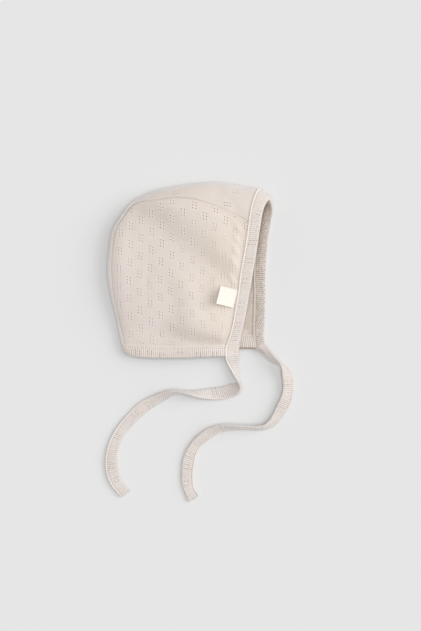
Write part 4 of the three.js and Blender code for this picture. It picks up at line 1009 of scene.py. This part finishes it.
def label_mesh():
    n, m = 44, 40
    ang = math.radians(LABEL["turn"])
    layers = []
    u, v = np.meshgrid(np.linspace(0, 1, n), np.linspace(0, 1, m))
    dx, dy = (u - 0.5) * LABEL["width"], (v - 0.5) * LABEL["height"]
    dy = dy * (1 - 0.012 * np.sin(math.pi * u)) + 0.10 * np.sin(2.2 * u + 0.4)
    x = LABEL["x"] + dx * math.cos(ang) - dy * math.sin(ang)
    y = LABEL["y"] + dx * math.sin(ang) + dy * math.cos(ang)
    # it lies over the knit without following every dip, and its folded end stands off a little
    flat_x, flat_y = x.ravel(), y.ravel()
    z = solve(near_point, flat_x, flat_y)[0].reshape(x.shape)
    plane = np.linalg.lstsq(np.stack([flat_x, flat_y, np.ones_like(flat_x)], -1), z.ravel(), rcond=None)[0]
    even = (plane[0] * flat_x + plane[1] * flat_y + plane[2]).reshape(x.shape)
    z = np.maximum(z, 0.5 * z + 0.5 * even) + 0.95
    z += 6.8 * (1 - u) ** 1.7 + 0.10 * np.sin(v * 5 + u * 2)
    z += 0.30 * np.exp(-((v - 0.0) / 0.10) ** 2) * (1 - u) + 0.25 * np.exp(-((1 - v) / 0.09) ** 2) * (1 - u)
    # two layers with a round fold at the left end: run u over the top and back underneath
    thick = 0.34
    ring = []
    top = np.stack([x, y, z + 2 * thick], -1)
    low = np.stack([x, y, z], -1)
    fold_n = 6
    left_out = np.array([-math.cos(ang), -math.sin(ang), 0])
    loop = [top[:, ::-1]]
    for k in range(1, fold_n):
        a = math.pi * k / fold_n
        p = (top[:, 0] + low[:, 0]) / 2 + left_out * (thick * math.sin(a)) + np.array([0, 0, 1.0]) * (thick * math.cos(a))
        loop.append(p[:, None])
    loop.append(low)
    ring = np.concatenate(loop, 1)                      # (m, K, 3) closed at the right end
    K = ring.shape[1]
    g = np.arange(m * K).reshape(m, K)
    quads = [np.stack([g[:-1, :-1], g[1:, :-1], g[1:, 1:], g[:-1, 1:]], -1).reshape(-1, 4),
             np.stack([g[:-1, -1], g[1:, -1], g[1:, 0], g[:-1, 0]], -1)]
    for row, flip in ((g[0], False), (g[-1], True)):
        a, b = row[:n], row[-n:][::-1]
        q = np.stack([a[:-1], a[1:], b[1:], b[:-1]], -1)
        mid = row[n - 1:-n + 1]
        quads.append(q[:, ::-1] if flip else q)
        h = len(mid) // 2
        q2 = np.array([[mid[k], mid[k + 1], mid[-2 - k], mid[-1 - k]] for k in range(h)])
        q2 = q2[[len(set(r)) == 4 for r in q2.tolist()]]
        if len(q2):
            quads.append(q2[:, ::-1] if flip else q2)
        if len(mid) % 2:
            t = np.array([[mid[h - 1], mid[h], mid[h + 1]]])
            quads.append(t[:, ::-1] if flip else t)
    uu = np.concatenate([np.broadcast_to(np.linspace(LABEL["width"], 0, n), (m, n)), np.zeros((m, fold_n - 1)),
                         np.broadcast_to(np.linspace(0, LABEL["width"], n), (m, n))], 1)
    vv = np.broadcast_to(np.linspace(0, LABEL["height"], m)[:, None], uu.shape)
    fabric = np.stack([uu, vv, 0 * uu], -1).reshape(-1, 3)
    return mesh_object("tab_label", ring.reshape(-1, 3), quads, {"fabric": fabric})


label = label_mesh()

# ---- stitches -----------------------------------------------------------------------------------------
def groove_stitches(strip, lo, hi, w, h, pitch, length, faces=(1, -1), lean=0.0, seed=0):
    """Short stitches that lie in a groove w mm in from the seam edge, on both faces."""
    paths, ups = [], []
    rng = np.random.default_rng(seed)
    s0, s1 = strip.s[lo] + 1, strip.s[hi] - 1
    for k in range(int((s1 - s0) / pitch)):
        a = s0 + k * pitch + rng.uniform(-0.08, 0.08)
        q = np.linspace(a, a + length * rng.uniform(0.92, 1.06), 5)
        seam = np.stack([np.interp(q, strip.s, strip.seam[:, c]) for c in range(3)], -1)
        wv = np.stack([np.interp(q, strip.s, strip.w[:, c]) for c in range(3)], -1)
        nv = np.stack([np.interp(q, strip.s, strip.n[:, c]) for c in range(3)], -1)
        hh = np.interp(q, strip.s, h) if np.ndim(h) else np.full(5, float(h))
        sag = np.array([-0.20, -0.03, 0.0, -0.03, -0.20])
        tilt = np.linspace(-0.5, 0.5, 5) * lean + rng.uniform(-0.05, 0.05)
        for f in faces:
            paths.append(seam + wv * (w + tilt)[:, None] + nv * (f * (hh + sag))[:, None])
            ups.append(nv[2] * f)
    return paths, ups


h_groove = 0.96 * rib_run.sewn + 0.58 * (1 - rib_run.sewn)
stitch_sets = {
    "stitches_binding": groove_stitches(rib_run, near_joint, far_joint, 1.76, h_groove + 0.05, 2.4, 1.75, seed=5),
    "stitches_tie_near": groove_stitches(rib_run, 6, near_joint, 1.76, h_groove + 0.05, 2.4, 1.75, seed=6),
    "stitches_tie_far": groove_stitches(rib_run, far_joint, len(s_run) - 7, 1.76, h_groove + 0.05, 2.4, 1.75, seed=7),
}
p1, u1 = groove_stitches(neck_strip, 0, len(s_neck) - 1, 1.35, 0.88, 2.6, 2.15, seed=8)
p2, u2 = groove_stitches(neck_strip, 0, len(s_neck) - 1, 3.05, 0.92, 2.6, 2.15, seed=9)
stitch_sets["stitches_band"] = (p1 + p2, u1 + u2)
stitches = {}
for key, (paths, ups) in stitch_sets.items():
    v, f = tubes(paths, 0.17, 6, ups, thread_taper)
    stitches[key] = mesh_object(key, v, f)


# ---- frayed cut ends --------------------------------------------------------------------------------------
def fray(name, strip, i, outward, seed):
    rng = np.random.default_rng(seed)
    paths = []
    for _ in range(26):
        w = rng.uniform(0.4, strip.width[i] - 0.4)
        h = rng.uniform(-0.75, 0.75) * 0.9
        p = strip.seam[i] + strip.w[i] * w + strip.n[i] * h
        d = strip.t[i] * outward + strip.w[i] * rng.normal(0, 0.45) + strip.n[i] * rng.normal(0, 0.25)
        d /= np.linalg.norm(d)
        bend = strip.w[i] * rng.normal(0, 0.9) + np.array([0, 0, -0.5])
        long = rng.uniform(0.7, 2.0)
        t = np.linspace(0, 1, 6)[:, None]
        q = p - d * 0.5 + d * (long + 0.5) * t + bend * (t ** 2) * long * 0.35
        q[:, 2] = np.maximum(q[:, 2], 0.15)
        paths.append(q)
    v, f = tubes(paths, 0.11, 5, None, lambda t: np.interp(t, [0, 0.7, 1], [1, 0.9, 0.45]))
    return mesh_object(name, v, f)


fray_near = fray("fray_tie_near", rib_run, 0, -1.0, 51)
fray_far = fray("fray_tie_far", rib_run, len(s_run) - 1, 1.0, 52)


# ---- materials ----------------------------------------------------------------------------------------------
def new_material(name, rough, sheen, sheen_rough, specular):
    mat = bpy.data.materials.new(name)
    mat.use_nodes = True
    nt = mat.node_tree
    bsdf = nt.nodes["Principled BSDF"]
    bsdf.inputs["Roughness"].default_value = rough
    bsdf.inputs["Sheen Weight"].default_value = sheen
    bsdf.inputs["Sheen Roughness"].default_value = sheen_rough
    bsdf.inputs["Specular IOR Level"].default_value = specular
    return mat, nt, bsdf


class Net:
    """Small helper for node arithmetic."""

    def __init__(self, nt):
        self.nt = nt

    def put(self, value, socket):
        if isinstance(value, (int, float)):
            socket.default_value = value
        elif isinstance(value, tuple):
            socket.default_value = value
        else:
            self.nt.links.new(value, socket)

    def math(self, op, a, b=None, c=None, clamp=False):
        node = self.nt.nodes.new("ShaderNodeMath")
        node.operation, node.use_clamp = op, clamp
        for i, v in enumerate((a, b, c)):
            if v is not None:
                self.put(v, node.inputs[i])
        return node.outputs[0]

    def noise(self, vector, scale, detail=3.0, rough=0.55, distort=0.0):
        node = self.nt.nodes.new("ShaderNodeTexNoise")
        self.nt.links.new(vector, node.inputs["Vector"])
        node.inputs["Scale"].default_value = scale
        node.inputs["Detail"].default_value = detail
        node.inputs["Roughness"].default_value = rough
        node.inputs["Distortion"].default_value = distort
        return node.outputs["Fac"]

    def remap(self, value, a, b, c, d, kind="LINEAR"):
        node = self.nt.nodes.new("ShaderNodeMapRange")
        node.interpolation_type = kind
        self.put(value, node.inputs["Value"])
        for k, v in zip(("From Min", "From Max", "To Min", "To Max"), (a, b, c, d)):
            node.inputs[k].default_value = v
        return node.outputs["Result"]

    def mix(self, fac, a, b, kind="MIX"):
        node = self.nt.nodes.new("ShaderNodeMix")
        node.data_type, node.blend_type = "RGBA", kind
        self.put(fac, node.inputs[0])
        self.put(a, node.inputs[6])
        self.put(b, node.inputs[7])
        return node.outputs[2]

    def ramp(self, value, stops):
        node = self.nt.nodes.new("ShaderNodeValToRGB")
        self.put(value, node.inputs["Fac"])
        el = node.color_ramp.elements
        while len(el) < len(stops):
            el.new(0.5)
        for e, (at, colour) in zip(el, stops):
            e.position, e.color = at, (*colour, 1.0)
        return node.outputs["Color"]


def knit_material(name, base, deep, pale, rib_dark, seed, across=None):
    """Fine rib knit: columns of leaning loops on the ribs, shaded furrows, soft fibre."""
    mat, nt, bsdf = new_material(name, 0.93, 0.75, 0.42, 0.22)
    net = Net(nt)
    att = nt.nodes.new("ShaderNodeAttribute")
    att.attribute_name = "fabric"
    sep = nt.nodes.new("ShaderNodeSeparateXYZ")
    nt.links.new(att.outputs["Vector"], sep.inputs[0])
    x, y, painted_shade_and_tone = sep.outputs[0], sep.outputs[1], sep.outputs[2]
    coord = nt.nodes.new("ShaderNodeTexCoord").outputs["Object"]
    # place across the rib: 0 on the crest, 0.5 in the furrow
    xr = net.math("ABSOLUTE", net.math("SUBTRACT", net.math("FRACT", net.math("ADD", net.math("DIVIDE", x, RIB), 0.5)), 0.5))
    crest = net.remap(xr, 0.46, 0.12, 0.0, 1.0, "SMOOTHSTEP")
    jit = net.math("MULTIPLY", net.math("SUBTRACT", net.noise(coord, 900.0 + seed, 2.0), 0.5), 0.9)
    lean = net.math("SUBTRACT", net.math("DIVIDE", y, COURSE), net.math("MULTIPLY", xr, 1.7))
    loop = net.math("SINE", net.math("MULTIPLY", net.math("ADD", lean, jit), 2 * math.pi))
    loop = net.remap(loop, -1.0, 1.0, 0.0, 1.0)
    fibre = net.noise(coord, 5200.0, 3.0, 0.7)
    hair = net.noise(coord, 2100.0, 4.0, 0.65, 0.6)
    height = net.math("ADD", net.math("MULTIPLY", net.math("MULTIPLY", loop, crest), 0.62),
                      net.math("ADD", net.math("MULTIPLY", crest, 0.35), net.math("ADD", net.math("MULTIPLY", fibre, 0.16), net.math("MULTIPLY", hair, 0.30))))
    bump = nt.nodes.new("ShaderNodeBump")
    bump.inputs["Strength"].default_value = 0.55
    bump.inputs["Distance"].default_value = 0.00022
    nt.links.new(height, bump.inputs["Height"])
    nt.links.new(bump.outputs["Normal"], bsdf.inputs["Normal"])
    # colour: slow variation of the yarn; painted shade between ribs and loops, and inside eyelets, seams and folds
    # where the attribute's third value is above zero, painted light where it is below zero
    slow = net.noise(coord, 34.0, 3.0, 0.5)
    tone = net.ramp(slow, ((0.28, deep), (0.52, base), (0.78, pale)))
    # a colour ramp across the panel; on the centre panel it paints a cool light along the outermost line
    if across is not None:
        tone = net.mix(1.0, tone, net.ramp(net.remap(x, -45.0, 45.0, 0.0, 1.0), across), "MULTIPLY")
    uneven = net.math("ADD", net.remap(net.noise(coord, 45.0, 2.0), 0.35, 0.65, 0.35, 1.0), net.remap(net.noise(coord, 480.0, 2.0, 0.6), 0.3, 0.7, -0.35, 0.45))
    furrow = net.math("MULTIPLY", net.math("MULTIPLY", net.math("SUBTRACT", 1.0, crest), rib_dark), uneven)
    between = net.math("MULTIPLY", net.math("MULTIPLY", net.math("SUBTRACT", 1.0, loop), crest), rib_dark * 0.6)
    speck = net.remap(net.noise(coord, 3400.0, 2.0, 0.6), 0.25, 0.75, -0.035, 0.035)
    dark = net.math("ADD", net.math("ADD", furrow, between), speck)
    level = net.math("ADD", net.math("SUBTRACT", 1.0, dark), net.remap(painted_shade_and_tone, -2.0, 0.0, 0.24, 0.0))
    grey = nt.nodes.new("ShaderNodeCombineXYZ")
    for i in range(3):
        nt.links.new(level, grey.inputs[i])
    colour = net.mix(1.0, tone, grey.outputs[0], "MULTIPLY")
    # painted shade: the colour is mixed towards a warm dark brown as the painted value rises
    colour = net.mix(net.remap(painted_shade_and_tone, 0.0, 1.0, 0.0, 0.85), colour, (0.26, 0.185, 0.13, 1.0))
    # painted sheen: the fuzz over the knit is coloured a little paler where the cloth turns away from the view
    layer = nt.nodes.new("ShaderNodeLayerWeight")
    layer.inputs["Blend"].default_value = 0.5
    colour = net.mix(net.remap(layer.outputs["Facing"], 0.15, 0.85, 0.0, 0.40), colour, (0.745, 0.715, 0.70, 1.0))
    nt.links.new(colour, bsdf.inputs["Base Color"])
    return mat


def thread_material(name, base):
    mat, nt, bsdf = new_material(name, 0.78, 0.15, 0.4, 0.35)
    net = Net(nt)
    coord = nt.nodes.new("ShaderNodeTexCoord").outputs["Object"]
    n1 = net.noise(coord, 2600.0, 3.0, 0.6)
    tone = net.ramp(n1, ((0.3, tuple(c * 0.90 for c in base)), (0.7, tuple(min(1.0, c * 1.06) for c in base))))
    nt.links.new(tone, bsdf.inputs["Base Color"])
    bump = nt.nodes.new("ShaderNodeBump")
    bump.inputs["Strength"].default_value = 0.4
    bump.inputs["Distance"].default_value = 0.00008
    nt.links.new(net.noise(coord, 7000.0, 2.0, 0.6, 1.0), bump.inputs["Height"])
    nt.links.new(bump.outputs["Normal"], bsdf.inputs["Normal"])
    return mat


def woven_material(name, base):
    """Close satin-woven tape: fine warp lines, a hint of weft, a firm selvedge."""
    mat, nt, bsdf = new_material(name, 0.62, 0.25, 0.35, 0.35)
    net = Net(nt)
    att = nt.nodes.new("ShaderNodeAttribute")
    att.attribute_name = "fabric"
    sep = nt.nodes.new("ShaderNodeSeparateXYZ")
    nt.links.new(att.outputs["Vector"], sep.inputs[0])
    x, y = sep.outputs[0], sep.outputs[1]
    coord = nt.nodes.new("ShaderNodeTexCoord").outputs["Object"]
    warp = net.math("SINE", net.math("MULTIPLY", y, 2 * math.pi / 0.32))
    weft = net.math("SINE", net.math("ADD", net.math("MULTIPLY", x, 2 * math.pi / 0.42), net.math("MULTIPLY", warp, 1.2)))
    h = net.math("ADD", net.math("MULTIPLY", warp, 0.35), net.math("ADD", net.math("MULTIPLY", weft, 0.25), net.noise(coord, 4200.0, 2.0)))
    bump = nt.nodes.new("ShaderNodeBump")
    bump.inputs["Strength"].default_value = 0.35
    bump.inputs["Distance"].default_value = 0.00008
    nt.links.new(h, bump.inputs["Height"])
    nt.links.new(bump.outputs["Normal"], bsdf.inputs["Normal"])
    slow = net.noise(coord, 160.0, 3.0)
    tone = net.ramp(slow, ((0.3, tuple(c * 0.965 for c in base)), (0.7, base)))
    edge = net.remap(net.math("ABSOLUTE", net.math("SUBTRACT", y, LABEL["height"] / 2)), LABEL["height"] / 2 - 0.8, LABEL["height"] / 2 - 0.3, 0.0, 0.07)
    lines_ = net.math("MULTIPLY", net.remap(weft, -1.0, 1.0, 0.04, 0.0), 1.0)
    level = net.math("SUBTRACT", 1.0, net.math("ADD", edge, lines_))
    grey = nt.nodes.new("ShaderNodeCombineXYZ")
    for i in range(3):
        nt.links.new(level, grey.inputs[i])
    nt.links.new(net.mix(1.0, tone, grey.outputs[0], "MULTIPLY"), bsdf.inputs["Base Color"])
    return mat


PANEL = knit_material("knit_panel", (0.717, 0.645, 0.592), (0.699, 0.624, 0.567), (0.735, 0.668, 0.618), 0.035, 1, ((0.30, (0.99, 0.99, 1.0)), (0.75, (1.0, 0.985, 0.955))))
# painted light: the centre panel is coloured paler and cooler along its outermost line
CENTRE = knit_material("knit_centre", (0.778, 0.700, 0.642), (0.758, 0.677, 0.615), (0.797, 0.725, 0.671), 0.035, 1,
                       ((0.411, (0.922, 0.918, 0.912)), (0.489, (0.90, 0.915, 0.945)), (0.522, (0.90, 0.915, 0.945)), (0.606, (0.922, 0.918, 0.912))))
RIBBED = knit_material("knit_rib", (0.785, 0.713, 0.664), (0.765, 0.690, 0.638), (0.802, 0.736, 0.690), 0.22, 7)
LOOSE_RIB = knit_material("knit_tie", (0.764, 0.702, 0.666), (0.745, 0.680, 0.640), (0.781, 0.725, 0.692), 0.22, 7)
THREAD = thread_material("cotton_thread", (0.80, 0.73, 0.67))
LOOSE = thread_material("cotton_yarn", (0.76, 0.68, 0.62))
TAPE = woven_material("woven_tape", (0.882, 0.833, 0.760))

for obj in (panel_near, panel_far):
    obj.data.materials.append(PANEL)
panel_centre.data.materials.append(CENTRE)
for obj in (binding, neck_band):
    obj.data.materials.append(RIBBED)
for obj in (tie_near, tie_far):
    obj.data.materials.append(LOOSE_RIB)
for obj in stitches.values():
    obj.data.materials.append(THREAD)
for obj in (fray_near, fray_far):
    obj.data.materials.append(LOOSE)
label.data.materials.append(TAPE)

# ---- floor and light -------------------------------------------------------------------------------------------
me = bpy.data.meshes.new("floor")
me.from_pydata([(-3, -3, 0), (3, -3, 0), (3, 3, 0), (-3, 3, 0)], [], [(0, 1, 2, 3)])
floor = bpy.data.objects.new("floor", me)
bpy.context.scene.collection.objects.link(floor)
FLOOR_ALBEDO = 0.70
mat, nt, bsdf = new_material("floor", 0.95, 0.0, 0.5, 0.0)
bsdf.inputs["Base Color"].default_value = (FLOOR_ALBEDO, FLOOR_ALBEDO, FLOOR_ALBEDO, 1)
floor.data.materials.append(mat)

FLOOR_LEVEL = 0.791 / FLOOR_ALBEDO
# name, share of the floor's light, azimuth from +X, height, spread, all in degrees
LIGHTS = (("overhead", 0.44, 0.0, 88.0, 34.0), ("key", 0.24, 14.0, 32.0, 46.0))
world = bpy.data.worlds.new("studio")
world.use_nodes = True
world.node_tree.nodes["Background"].inputs["Color"].default_value = (1, 1, 1, 1)
world.node_tree.nodes["Background"].inputs["Strength"].default_value = FLOOR_LEVEL * (1 - sum(light[1] for light in LIGHTS))
bpy.context.scene.world = world
for light_name, share, azimuth, above, spread in LIGHTS:
    sun = bpy.data.objects.new(light_name, bpy.data.lights.new(light_name, "SUN"))
    bpy.context.scene.collection.objects.link(sun)
    az, el = math.radians(azimuth), math.radians(above)
    sun.data.energy = FLOOR_LEVEL * share * math.pi / math.sin(el)
    sun.data.angle = math.radians(spread)
    sun.rotation_mode = "QUATERNION"
    sun.rotation_quaternion = Vector((math.cos(az) * math.cos(el), math.sin(az) * math.cos(el), math.sin(el))).to_track_quat("Z", "Y")
bpy.context.scene.view_settings.view_transform = "Standard"
bpy.context.scene.view_settings.look = "None"

# ---- what stands for what ------------------------------------------------------------------------------------------
stands = {
    panel_near: ("side_panel_near", "panel_knit"), panel_far: ("side_panel_far", "panel_knit"),
    panel_centre: ("centre_panel", "panel_knit"), binding: ("face_binding", "strip_rib"),
    neck_band: ("neck_band", "strip_rib"), tie_near: ("tie_near", "strip_rib"),
    tie_far: ("tie_far", "strip_rib"), label: ("label", "label_cloth"),
}
for obj, (node, slot) in stands.items():
    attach(obj, "root")
    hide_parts(node)
for obj in list(stitches.values()) + [fray_near, fray_far]:
    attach(obj, "root")

mid_m = to_metres(rib_run.mid)
path_near = mid_m[:near_joint + 1][::-1]
path_far = mid_m[far_joint:]
length = lambda p: float(np.linalg.norm(np.diff(p, axis=0), axis=1).sum())
[tuple(p) for p in path_near[::4]]
print("tie lengths", length(path_near), length(path_far))

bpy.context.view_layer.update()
for obj in stands:
    print(obj.name, len(obj.data.vertices), sum(len(p.vertices) - 2 for p in obj.data.polygons))
